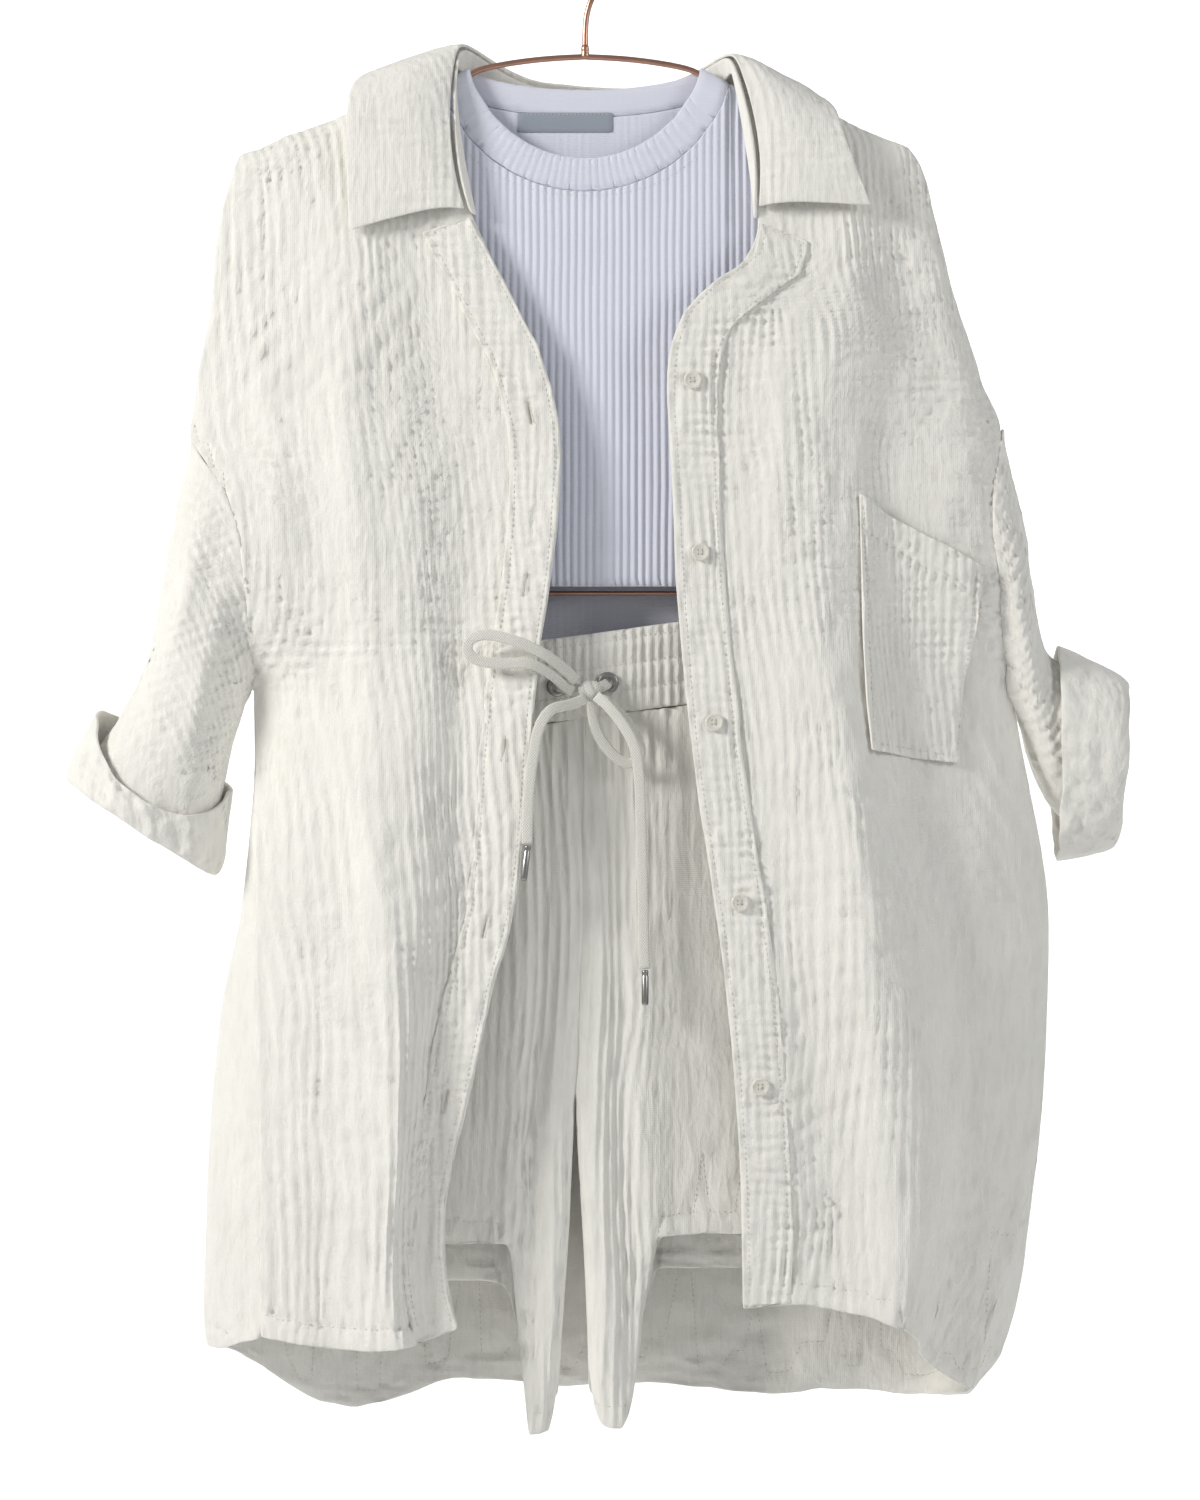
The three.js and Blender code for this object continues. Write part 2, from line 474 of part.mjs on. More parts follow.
// A wall of cloth: a grid of points, half the cloth on each side of it. Relief lifts the outer
// points; the plain inside may keep only some of the columns.
function wall(grid, { thickness, normals, closed = false, relief = () => 0, inside = () => true }) {
  const rows = grid.length;
  const columns = grid[0].length;
  const last = closed ? columns : columns - 1;
  const out = normals ?? normalsOf(grid, closed);
  const kept = grid[0].map((_, j) => j).filter((j) => j === 0 || j === last || inside(j));
  const points = [];
  const outer = [];
  const inner = [];
  for (let i = 0; i < rows; i++) {
    outer.push([]);
    inner.push([]);
    for (let j = 0; j < columns; j++) {
      outer[i].push(points.length);
      points.push(grid[i][j].clone().addScaledVector(out[i][j], thickness / 2 + relief(i, j)));
    }
    for (const j of kept) {
      inner[i].push(points.length);
      points.push(grid[i][j].clone().addScaledVector(out[i][j], -thickness / 2));
    }
  }
  const faces = [];
  for (let i = 0; i < rows - 1; i++) {
    for (let j = 0; j < last; j++) {
      const k = (j + 1) % columns;
      faces.push([outer[i][j], outer[i][k], outer[i + 1][k]], [outer[i][j], outer[i + 1][k],
        outer[i + 1][j]]);
    }
  }
  const bottom = rows - 1;
  for (let a = 0; a < (closed ? kept.length : kept.length - 1); a++) {
    const b = (a + 1) % kept.length;
    const to = a + 1 < kept.length ? kept[a + 1] : columns;
    for (let i = 0; i < bottom; i++) {
      faces.push([inner[i][a], inner[i + 1][b], inner[i][b]], [inner[i][a], inner[i + 1][a],
        inner[i + 1][b]]);
    }
    for (let n = kept[a]; n < to; n++) {
      const m = (n + 1) % columns;
      faces.push([outer[0][m], outer[0][n], inner[0][a]]);
      faces.push([outer[bottom][n], outer[bottom][m], inner[bottom][a]]);
    }
    const end = to % columns;
    faces.push([outer[0][end], inner[0][a], inner[0][b]]);
    faces.push([outer[bottom][end], inner[bottom][b], inner[bottom][a]]);
  }
  if (!closed) {
    const end = kept.length - 1;
    for (let i = 0; i < bottom; i++) {
      faces.push([outer[i][0], outer[i + 1][0], inner[i + 1][0]], [outer[i][0], inner[i + 1][0],
        inner[i][0]]);
      faces.push([outer[i + 1][last], outer[i][last], inner[i][end]]);
      faces.push([outer[i + 1][last], inner[i][end], inner[i + 1][end]]);
    }
  }
  return geometryOf(points, faces);
}

const named = (name, geometry, finish) => {
  const mesh = new THREE.Mesh(geometry, new THREE.MeshStandardMaterial(finish));
  mesh.name = name;
  return mesh;
};

const levels = shirtLevels();
const shoulderOut = (front) => {
  const row = front.rows[0];
  const side = Math.sign(row.outerX);
  return vec(side * (row.edgeZ - row.outerZ), 0, Math.abs(row.outerX - row.edgeX)).normalize();
};

// Columns of a front: the placket's edge, middle and stitch line, the roll's crest, then the side.
const FRONT_COLUMNS = 12;
function frontColumns(front, s) {
  const width = edgeAt(front.rows, 'edge', s).distanceTo(edgeAt(front.rows, 'outer', s));
  const stitch = PLACKET_WIDTH / width;
  const crest = crestAt(front.folds[0], columnAt(front.rows, 'down', s) / front.rows[LAST_ROW].down);
  const middle = Math.max(crest, stitch + 0.14);
  const half = FRONT_COLUMNS / 2 - 1;
  return [0, 0.5 * stitch, ...spread(half, stitch, middle), ...spread(half, middle, 1).slice(1)];
}
const frontGrid = (front) => levels.map((s) => frontColumns(front, s).map((u) => frontPoint(front, s, u)));
const flipped = (grid) => grid.map((row) => [...row].reverse());

// A sleeve: the armhole's ring, then the rings of its table, each an oval.
function sleeveGrid(front, table, offset, side) {
  const inHole = levels.filter((s) => s >= front.hole.top && s <= front.hole.bottom);
  const frontArc = inHole.map((s) => edgeAt(front.rows, 'outer', s));
  const backArc = inHole.map((s) => backSeam(front, s, offset.x, offset.y));
  const down = side < 0 ? backArc : frontArc;
  const up = (side < 0 ? frontArc : backArc).slice(1, -1).reverse();
  const rings = [[...down, ...up]];
  const count = rings[0].length;
  const turn = table[5];
  for (const row of table) {
    const middle = vec(0.5 * (row.topX + row.underX), row.midY, 0.5 * (row.topZ + row.underZ));
    const half = vec(0.5 * (row.topX - row.underX), 0, 0.5 * (row.topZ - row.underZ));
    const toTurn = vec(0.5 * (turn.topX + turn.underX), row.midY,
      0.5 * (turn.topZ + turn.underZ)).sub(middle);
    const fall = toTurn.lengthSq() > 0 ? toTurn.normalize() : toTurn;
    rings.push(spread(count).slice(0, count).map((t) => {
      const angle = 2 * Math.PI * t;
      const forward = -side * Math.sin(angle);
      const point = middle.clone().addScaledVector(half, Math.cos(angle));
      point.y += forward * row.depth;
      return point.addScaledVector(fall, row.drop * Math.max(0, -forward));
    }));
  }
  const places = rings.map((_, i) => i);
  const sections = [...spread(8, 0, 4), ...spread(5, 5, 10).slice(0, 5)];
  const at = (i, axis, s) => curveAt(places, rings.map((ring) => ring[i][axis]), s);
  return sections.map((s) => rings[0].map((_, i) => vec(at(i, 'x', s), at(i, 'y', s), at(i, 'z', s))));
}

const grids = {
  shirt_front_left: frontGrid(leftFront),
  shirt_front_right: flipped(frontGrid(rightFront)),
  shirt_back: gridOf(levels, BACK_COLUMNS, backPoint),
};
grids.sleeve_left = sleeveGrid(leftFront, LEFT_SLEEVE, { x: BACK_ARMHOLE.leftX,
  y: BACK_ARMHOLE.leftY }, -1);
grids.sleeve_right = sleeveGrid(rightFront, RIGHT_SLEEVE, { x: BACK_ARMHOLE.rightX,
  y: BACK_ARMHOLE.rightY }, 1);
const normals = {};
for (const [name, grid] of Object.entries(grids)) normals[name] = normalsOf(grid,
  name.startsWith('sleeve'));

// Joins the shirt's pieces at the side seams, armholes and shoulders with shared directions.
function joinShirt(frontName, front, frontColumn, backColumn, sleeveName, side) {
  const { top, bottom } = front.hole;
  const half = SEAM_GAP / 2;
  const sleeve = grids[sleeveName];
  const count = sleeve[0].length;
  const firstHole = levels.indexOf(top);
  levels.forEach((s, i) => {
    const inHole = s > top && s < bottom;
    const mine = normals[frontName][i][frontColumn];
    const theirs = normals.shirt_back[i][backColumn];
    const frontPlace = grids[frontName][i][frontColumn];
    const backPlace = grids.shirt_back[i][backColumn];
    if (!inHole) {
      const shared = mine.clone().add(theirs).normalize();
      mine.copy(shared);
      theirs.copy(shared);
      frontPlace.y -= half;
      backPlace.y += half;
      if (s === top || s === bottom) {
        frontPlace.x -= side * half;
        backPlace.x -= side * half;
      }
      return;
    }
    const n = i - firstHole;
    const onFront = side < 0 ? count - n : n;
    const onBack = side < 0 ? n : count - n;
    const pairs = [[mine, onFront, frontPlace], [theirs, onBack, backPlace]];
    for (const [panel, k, place] of pairs) {
      const shared = panel.clone().add(normals[sleeveName][0][k]).normalize();
      panel.copy(shared);
      normals[sleeveName][0][k].copy(shared);
      place.x -= side * half;
    }
  });
  for (const s of [top, bottom]) {
    const k = s === top ? 0 : count / 2;
    normals[sleeveName][0][k].copy(normals.shirt_back[levels.indexOf(s)][backColumn]);
  }
  sleeve[0].forEach((point, k) => {
    const nearEnd = hump(Math.min(k, count - k, Math.abs(k - count / 2)) / 3);
    const along = sleeve[1][k].clone().sub(point).normalize();
    point.addScaledVector(along, half + UNDERARM_EASE * nearEnd);
    point.x += side * (half + UNDERARM_EASE * nearEnd);
  });
}
const FRONT_LAST = FRONT_COLUMNS;
const BACK_LAST = BACK_COLUMNS.length - 1;
joinShirt('shirt_front_left', leftFront, FRONT_LAST, 0, 'sleeve_left', -1);
joinShirt('shirt_front_right', rightFront, 0, BACK_LAST, 'sleeve_right', 1);
for (const [name, front, shift] of [
  ['shirt_front_left', leftFront, -1], ['shirt_front_right', rightFront, -1]]) {
  normals[name][0].forEach((n) => n.copy(shoulderOut(front)));
  grids[name][0].forEach((p) => { p.y = shift * SEAM_GAP / 2; });
}
grids.shirt_back[0].forEach((p, j) => {
  const front = p.x < NECK_MIDDLE_X ? leftFront : rightFront;
  const dip = neckDip(p.x);
  const out = shoulderOut(front).multiplyScalar(1 - dip).add(vec(0, dip, 0.2 * dip));
  normals.shirt_back[0][j].copy(out.normalize());
  p.y = Math.max(p.y, SEAM_GAP / 2);
});

const root = new THREE.Group();
const add = (name, geometry, finish) => root.add(named(name, geometry, finish));
for (const [name, grid] of Object.entries(grids)) {
  const closed = name.startsWith('sleeve');
  add(name, wall(grid, { thickness: GAUZE, normals: normals[name], closed }), IVORY);
}

// What lies on a panel: some of its own points, moved out by its wall and a small gap.
function laidOn(name, rowRange, columnRange, thickness) {
  const [firstRow, lastRow] = rowRange;
  const [firstColumn, lastColumn] = columnRange;
  const lift = GAUZE / 2 + LAY_GAP + thickness / 2;
  const cut = (source) => source.slice(firstRow, lastRow + 1).map((row) => row.slice(firstColumn,
    lastColumn + 1));
  const out = cut(normals[name]);
  const moved = cut(grids[name]).map((row, i) => row.map((p, j) => p.clone().addScaledVector(out[i][j],
    lift)));
  return { grid: moved, out };
}

const cutSolid = (geometry) => {
  const bare = geometry.clone();
  bare.deleteAttribute('normal');
  if (bare.attributes.uv) bare.deleteAttribute('uv');
  const merged = mergeVertices(bare, 1e-4);
  return new wasm.Manifold(new wasm.Mesh({
    numProp: 3,
    vertProperties: merged.attributes.position.array,
    triVerts: new Uint32Array(merged.index.array),
  }));
};
function geometryFromSolid(solid) {
  const { vertProperties, triVerts } = solid.getMesh();
  const geometry = new THREE.BufferGeometry();
  geometry.setAttribute('position', new THREE.BufferAttribute(vertProperties, 3));
  geometry.setIndex(new THREE.BufferAttribute(triVerts, 1));
  geometry.computeVertexNormals();
  return geometry;
}

const NECK_POINT = 4;
const firstPlacketRow = levels.indexOf(NECK_POINT);
const placketRows = [firstPlacketRow, levels.length - 1];

// Places down a placket where its buttons or buttonholes sit.
const BUTTON_HEIGHTS = [-284, -388, -490, -597, -706];
const HOLE_HEIGHTS = [-303, -407, -506, -611, -716, -800];
function onPlacket(placket, height) {
  const { grid, out } = placket;
  const middle = 1;
  let i = 0;
  while (i < grid.length - 2 && grid[i + 1][middle].z > height) i++;
  const above = grid[i][middle];
  const below = grid[i + 1][middle];
  const t = (above.z - height) / (above.z - below.z);
  return {
    point: above.clone().lerp(below, t),
    out: out[i][middle].clone().lerp(out[i + 1][middle], t).normalize(),
    along: below.clone().sub(above).normalize(),
  };
}
function frameAt({ point, out, along }, lift) {
  const across = along.clone().cross(out).normalize();
  const basis = new THREE.Matrix4().makeBasis(across, along.clone(), out.clone());
  return basis.setPosition(point.clone().addScaledVector(out, lift));
}

const placketLeft = laidOn('shirt_front_left', placketRows, [0, 2], BAND);
let placketSolid = cutSolid(wall(placketLeft.grid, { thickness: BAND, normals: placketLeft.out }));
for (const height of HOLE_HEIGHTS) {
  const slot = new THREE.BoxGeometry(1.6, BUTTONHOLE, 6).applyMatrix4(frameAt(onPlacket(placketLeft,
    height), 0));
  placketSolid = placketSolid.subtract(cutSolid(slot));
}
add('placket_left', geometryFromSolid(placketSolid), IVORY);

const placketRight = laidOn('shirt_front_right', placketRows, [FRONT_LAST - 2, FRONT_LAST], BAND);
add('placket_right', wall(placketRight.grid, { thickness: BAND, normals: placketRight.out }), IVORY);

// A button: a dish with a raised rim.
function buttonGeometry() {
  const r = BUTTON_RADIUS;
  const profile = [[0, 0], [r * 0.85, 0], [r, 0.8], [r, BUTTON_THICK - 0.5], [r * 0.85, BUTTON_THICK]];
  profile.push([r * 0.6, BUTTON_THICK - 0.7], [0, BUTTON_THICK - 0.9]);
  const lathe = new THREE.LatheGeometry(profile.map(([x, y]) => new THREE.Vector2(x, y)), 10);
  return lathe.rotateX(Math.PI / 2);
}
BUTTON_HEIGHTS.forEach((height, i) => {
  const place = frameAt(onPlacket(placketRight, height), BAND / 2 + 0.6);
  add(`button_${i + 1}`, buttonGeometry().applyMatrix4(place), SHELL_WHITE);
});

// The pocket on the right front, between places down and across the panel.
const POCKET = { topIn: 8.75, topOut: 9.1, bottomIn: 11.9, bottomOut: 11.95, leftTop: 0.56,
  rightTop: 0.94, leftLow: 0.5, rightLow: 0.8 };
const POCKET_ROWS = 7;
const POCKET_COLUMNS = 7;
function panelAt(name, s, u) {
  const front = rightFront;
  const i = clamp(levels.findIndex((level) => level > s) - 1, 0, levels.length - 2);
  const v = (s - levels[i]) / (levels[i + 1] - levels[i]);
  const row = (k) => {
    const places = frontColumns(front, levels[k]);
    let j = 0;
    while (j < places.length - 2 && places[j + 1] < u) j++;
    const t = (u - places[j]) / (places[j + 1] - places[j]);
    const flip = places.length - 1;
    const mixed = (source) => source[k][flip - j].clone().lerp(source[k][flip - j - 1], t);
    return { point: mixed(grids[name]), out: mixed(normals[name]) };
  };
  const above = row(i);
  const below = row(i + 1);
  return { point: above.point.lerp(below.point, v), out: above.out.lerp(below.out, v).normalize() };
}
function pocketGrid() {
  const p = POCKET;
  const lift = GAUZE + LAY_GAP + 1.6;
  const places = spread(POCKET_ROWS).map((v) => spread(POCKET_COLUMNS).map((w) => {
    const s = mix(mix(p.topIn, p.topOut, w), mix(p.bottomIn, p.bottomOut, w), v);
    const u = mix(mix(p.leftTop, p.rightTop, w), mix(p.leftLow, p.rightLow, w), v);
    const at = panelAt('shirt_front_right', s, u);
    return at.point.addScaledVector(at.out, lift);
  }));
  return flipped(places);
}
add('pocket', wall(pocketGrid(), { thickness: GAUZE }), IVORY);

// The collar's stand, inside its leaf, and the leaf turned over it.
COLLAR.forEach((row, i) => { row.down = i; });
const collarAt = (part, t) => vec(
  columnAt(COLLAR, part + 'X', t), columnAt(COLLAR, part + 'Y', t), columnAt(COLLAR, part + 'Z', t));
const collarPlaces = spread(2 * (COLLAR.length - 1), 0, COLLAR.length - 1);
const STAND_INWARD = 2.5;
const STAND_RISE = [0.14, 0.5, 0.84];
const NECK_MIDDLE = vec(NECK_MIDDLE_X, -2, -120);
function standPoint(t, h) {
  const seam = collarAt('seam', t);
  const fold = collarAt('fold', t);
  const inward = NECK_MIDDLE.clone().sub(seam).setZ(0).normalize();
  return seam.lerp(fold, h).addScaledVector(inward, STAND_INWARD);
}
const standGrid = STAND_RISE.map((h) => [...collarPlaces].reverse().map((t) => standPoint(t, h))).reverse();
add('collar_stand', wall(standGrid, { thickness: BAND }), IVORY);
const LEAF_PLACES = [0, 0.1, 0.35, 0.7, 1];
const LEAF_ARCH = 5;
function leafPoint(t, w) {
  const fold = collarAt('fold', t);
  const leaf = collarAt('leaf', t);
  const out = fold.clone().sub(NECK_MIDDLE).setZ(0).normalize();
  const over = vec(out.x * 0.5, Math.sign(out.y) * 0.6, 0.6);
  return fold.lerp(leaf, w).addScaledVector(over, LEAF_ARCH * Math.sin(Math.PI * w ** 0.6) * ease(w / 0.1));
}
const leafGrid = LEAF_PLACES.map((w) => [...collarPlaces].reverse().map((t) => leafPoint(t, w)));
add('collar_leaf', wall(leafGrid, { thickness: GAUZE }), IVORY);

// The hanger: hook, arms and, on two drop wires, the bar that carries the shorts.
const armZ = (x) => {
  const far = Math.abs(x);
  const past = far - ARM_KNEE_X;
  if (past > 0) return ARM_KNEE_Z - ARM_SLOPE * past - ARM_DIP * ease(past / 24);
  return mix(ARM_CREST_Z, ARM_KNEE_Z, (far / ARM_KNEE_X) ** 2);
};
// A wire bent in the hanger's plane, with a ring of points at each of its places.
function bentWire(places, diameter) {
  const sides = 8;
  const ring = spread(sides).slice(0, sides).map((t) => 2 * Math.PI * t);
  const points = [];
  const faces = [];
  places.forEach(([x, z], i) => {
    const [x0, z0] = places[Math.max(0, i - 1)];
    const [x1, z1] = places[Math.min(places.length - 1, i + 1)];
    const across = vec(z0 - z1, 0, x1 - x0).normalize();
    for (const angle of ring) {
      const out = across.clone().multiplyScalar(Math.cos(angle)).add(vec(0, Math.sin(angle), 0));
      points.push(vec(x, 0, z).addScaledVector(out, diameter / 2));
    }
  });
  for (let i = 0; i < places.length - 1; i++) {
    for (let j = 0; j < sides; j++) {
      const a = i * sides + j;
      const b = i * sides + ((j + 1) % sides);
      faces.push([a, b + sides, b], [a, a + sides, b + sides]);
    }
  }
  const end = (places.length - 1) * sides;
  for (let j = 1; j < sides - 1; j++) {
    faces.push([0, j, j + 1], [end, end + j + 1, end + j]);
  }
  return geometryOf(points, faces);
}
const hookAxis = HOOK_RADIUS + WIRE / 2;
const hookPlaces = [[0, ARM_CREST_Z + WIRE / 2 + 0.35], [0, -68], [1, -59], [4, -50], [9.5, -42], [16,
  -35]];
for (const degrees of [-12, 12, 36, 60, 84, 108, 132, 156, 180, 198]) {
  const angle = THREE.MathUtils.degToRad(degrees);
  hookPlaces.push([hookAxis * Math.cos(angle), hookAxis * Math.sin(angle) - HOOK_RADIUS]);
}
add('hanger_hook', bentWire(hookPlaces, WIRE), ROSE_WIRE);
const ARM_PLACES = [0.4, 20, 42, ARM_KNEE_X, 69, 75, 81, 87];
for (const [name, tip] of [['hanger_arm_left', ARM_TIP_LEFT], ['hanger_arm_right', ARM_TIP_RIGHT]]) {
  const side = Math.sign(tip);
  add(name, bentWire([...ARM_PLACES, Math.abs(tip)].map((x) => [side * x, armZ(x)]), WIRE), ROSE_WIRE);
}
const dropTop = armZ(DROP_X) - WIRE / 2 - 0.9;
const dropEnd = BAR_Z + DROP_WIRE / 2 + 0.35;
for (const [name, side] of [['hanger_drop_left', -1], ['hanger_drop_right', 1]]) {
  add(name, bentWire([[side * DROP_X, dropTop], [side * DROP_X, dropEnd]], DROP_WIRE), ROSE_WIRE);
}
add('hanger_bar', bentWire([[-BAR_HALF, BAR_Z], [BAR_HALF, BAR_Z]], DROP_WIRE), ROSE_WIRE);

// The ribbed top is two faces, front and back, on the same outline, hung over the arms. Every second
// column is a rib. More columns lie close to the neck points and the ends of the shoulders.
const TOP_OVER_WIRE = 4.2;
const TOP_ROUND = 3.9;
const topShoulderZ = (x) => armZ(x) + TOP_OVER_WIRE;
function topDepth(x, z) {
  const below = Math.max(0, topShoulderZ(x) - z);
  const round = TOP_ROUND * Math.sqrt(1 - (1 - Math.min(below / 8, 1)) ** 2);
  const side = Math.sqrt(Math.max(0, 1 - (Math.abs(x) / (TOP_HALF_WIDTH + 0.01)) ** 8));
  return (round + 7 * ease(below / 260)) * side;
}
const RIBS = 2 * Math.round(TOP_HALF_WIDTH / RIB_PITCH);
const RIB_COLUMN = TOP_HALF_WIDTH / RIBS;
const NECK_COLUMN = 38;
const TOP_NECK_X = NECK_COLUMN * RIB_COLUMN;
const neckCurve = (x) => Math.max(0, 1 - (x / TOP_NECK_X) ** 2) ** 0.65;
function topEdgeZ(x, neckDrop) {
  const far = Math.abs(x);
  if (far < TOP_NECK_X) return topShoulderZ(TOP_NECK_X) - neckDrop * neckCurve(x);
  if (far <= TOP_SHOULDER_X) return topShoulderZ(far);
  const across = (far - TOP_SHOULDER_X) / (TOP_HALF_WIDTH - TOP_SHOULDER_X);
  return mix(topShoulderZ(TOP_SHOULDER_X), TOP_UNDERARM_Z, Math.max(0, 1 - (1 - across) ** 2) ** 0.8);
}
const CLOSE = [0.12, 0.42];
const closeXs = [
  ...CLOSE.map((inward) => TOP_NECK_X - inward), TOP_SHOULDER_X,
    ...CLOSE.map((past) => TOP_SHOULDER_X + past)];
const plainXs = spread(2 * RIBS, -TOP_HALF_WIDTH, TOP_HALF_WIDTH);
const topXs = [...plainXs, ...closeXs, ...closeXs.map((x) => -x)].sort((a, b) => a - b);
const ribNumber = (x) => Math.round(x / RIB_COLUMN);
const isRib = (x) => ribNumber(x) % 2 !== 0 && Math.abs(x / RIB_COLUMN - ribNumber(x)) < 0.01;
const nearKink = (x) => [TOP_NECK_X, TOP_SHOULDER_X].some((kink) => Math.abs(Math.abs(x) - kink) < 1.1 * RIB_COLUMN);
const keptInside = (x) => nearKink(x) || ribNumber(x) % (Math.abs(x) > TOP_SHOULDER_X ? 3 : 6) === 0;
function topPanel(facing, neckDrop, hemZ) {
  const xs = facing < 0 ? [...topXs].reverse() : topXs;
  const columns = xs.map((x) => {
    const top = topEdgeZ(x, neckDrop);
    return [top, top - 2.5, hemZ].map((z) => vec(x, facing * (topDepth(x, z) + SEAM_GAP / 2), z));
  });
  const grid = columns[0].map((_, i) => columns.map((points) => points[i]));
  const out = normalsOf(grid, false);
  xs.forEach((x, j) => {
    const far = Math.abs(x);
    if (far >= TOP_NECK_X && far <= TOP_SHOULDER_X) out[0][j].set(0, 0, 1);
    if (far > TOP_HALF_WIDTH - 0.1) out.forEach((row) => row[j].set(Math.sign(x), 0, 0));
  });
  const relief = (i, j) => (isRib(xs[j]) ? RIB_HEIGHT : 0);
  return wall(grid, { thickness: KNIT, normals: out, relief, inside: (j) => keptInside(xs[j]) });
}
add('top_front', topPanel(-1, NECK_DROP_FRONT, TOP_FRONT_HEM_Z), KNIT_WHITE);
add('top_back', topPanel(1, NECK_DROP_BACK, TOP_BACK_HEM_Z), KNIT_WHITE);

// The neckband: ribs that run across it, from the neckline seam up to its edge. It has a column for
// each column of the neckline.
const neckXs = topXs.filter((x) => Math.abs(x) < TOP_NECK_X - 0.01);
const NECKBAND_RISE = 9;
const NECKBAND_EDGE = { front: 0.85, back: 0.66 };
const neckPlaces = [
  { x: TOP_NECK_X, facing: 0 },
  ...[...neckXs].reverse().map((x) => ({ x, facing: -1 })),
  { x: -TOP_NECK_X, facing: 0 },
  ...neckXs.map((x) => ({ x, facing: 1 })),
];
function neckbandPoint({ x, facing }, high) {
  const drop = facing > 0 ? NECK_DROP_BACK : NECK_DROP_FRONT;
  const edge = facing > 0 ? NECKBAND_EDGE.back : NECKBAND_EDGE.front;
  const fall = drop * neckCurve(x) * mix(1, edge, high);
  const z = topShoulderZ(TOP_NECK_X) - fall + NECKBAND_RISE * high + KNIT / 2 + SEAM_GAP + 0.15;
  const inward = x * (1 - (NECKBAND_WIDTH * high + 0.5) / TOP_NECK_X);
  return vec(inward, facing * (topDepth(x, topEdgeZ(x, drop)) + SEAM_GAP / 2), z);
}
const neckbandGrid = [1, 0].map((high) => neckPlaces.map((place) => neckbandPoint(place, high)));
const neckbandRelief = (i, j) => (isRib(neckPlaces[j].x) ? 0.7 * RIB_HEIGHT : 0);
const neckbandInside = (j) => keptInside(neckPlaces[j].x);
add('top_neckband', wall(neckbandGrid, {
  thickness: KNIT, closed: true, relief: neckbandRelief, inside: neckbandInside,
}), KNIT_WHITE);

// The blank woven label, sewn inside the back neck.
const LABEL = { left: -41, right: 17, top: -119.5, bottom: -131.5, thick: 0.8, clear: 1.2 };
const labelGrid = [LABEL.top, LABEL.bottom].map((z) => spread(4, LABEL.right, LABEL.left).map((x) => (
  vec(x, topDepth(x, z) - LABEL.clear, z))));
add('top_label', wall(labelGrid, { thickness: LABEL.thick }), SLATE);

// The waistband: a flat ring, gathered by three elastic channels and pinched flat at its ends.
const WAIST_FLAT = 3.4;
const waistOpen = (x) => Math.max(0, 1 - (x / 118) ** 2) ** 1.2;
const waistFrontY = (x) => -(WAIST_FLAT + 12 * waistOpen(x));
const waistBackY = (x) => WAIST_FLAT + 2.6 * waistOpen(x);
const waistTopZ = (x) => WAIST_Z + 10 * Math.sin((Math.PI * x) / 220 - 0.26);
const WAIST_ROWS = [
  { below: 0, crown: 0, gather: 1 },
  { below: 9, crown: 1.2, gather: 1 },
  { below: 18, crown: 0, gather: 0.5 },
  { below: 28, crown: 1.2, gather: 1 },
  { below: 38, crown: 0, gather: 0.5 },
  { below: WAIST_BAND, crown: 0, gather: 0.8 },
];
const WAIST_CLOTH = 2.4;
function waistRing() {
  const across = spread(2 * GATHERS_A_SIDE, WAIST_HALF, -WAIST_HALF);
  const end = WAIST_HALF + WAIST_FLAT;
  const front = across.map((x) => [x, waistFrontY(x)]);
  const back = [...across].reverse().map((x) => [x, waistBackY(x)]);
  return [...front, [-end, 0], ...back, [end, 0]];
}
const waistGrid = WAIST_ROWS.map((row) => waistRing().map(([x, y]) => vec(x, y, waistTopZ(x) - row.below)));
const waistRelief = (i, j) => WAIST_ROWS[i].crown + (j % 2 === 1 ? GATHER_HEIGHT * WAIST_ROWS[i].gather : 0);
add('waistband', wall(waistGrid, {
  thickness: WAIST_CLOTH, closed: true, relief: waistRelief, inside: (j) => j % 4 === 0,
}), IVORY);

// A clip: a bent plate over the bar, with a jaw on each side of the waistband.
function clipGeometry(x) {
  const top = BAR_Z + DROP_WIRE / 2 + 2.2;
  const jaw = BAR_Z - 9;
  const low = BAR_Z - CLIP_REACH;
  const grip = WAIST_FLAT + WAIST_CLOTH / 2 + GATHER_HEIGHT + 1.6;
  const outer = [[3.6, top - 1.2], [4.6, top - 4.2], [grip + 1.3, jaw], [grip + 1.3, low]];
  const inner = [[grip, low], [grip, jaw], [2.9, top - 5], [2.1, top - 2.8]];
  const half = [...outer, ...inner];
  const shape = new THREE.Shape();
  shape.moveTo(0, top);
  for (const [y, z] of half) shape.lineTo(y, z);
  shape.lineTo(0, top - 1.8);
  for (const [y, z] of [...half].reverse()) shape.lineTo(-y, z);
  shape.closePath();
  const solid = new THREE.ExtrudeGeometry(shape, { depth: CLIP_WIDTH, bevelEnabled: false });
  const basis = new THREE.Matrix4().makeBasis(vec(0, 1, 0), vec(0, 0, 1), vec(1, 0, 0));
  return solid.applyMatrix4(basis.setPosition(vec(x - CLIP_WIDTH / 2, 0, 0)));
}
add('clip_left', clipGeometry(-CLIP_X), ROSE_WIRE);
add('clip_right', clipGeometry(CLIP_X), ROSE_WIRE);

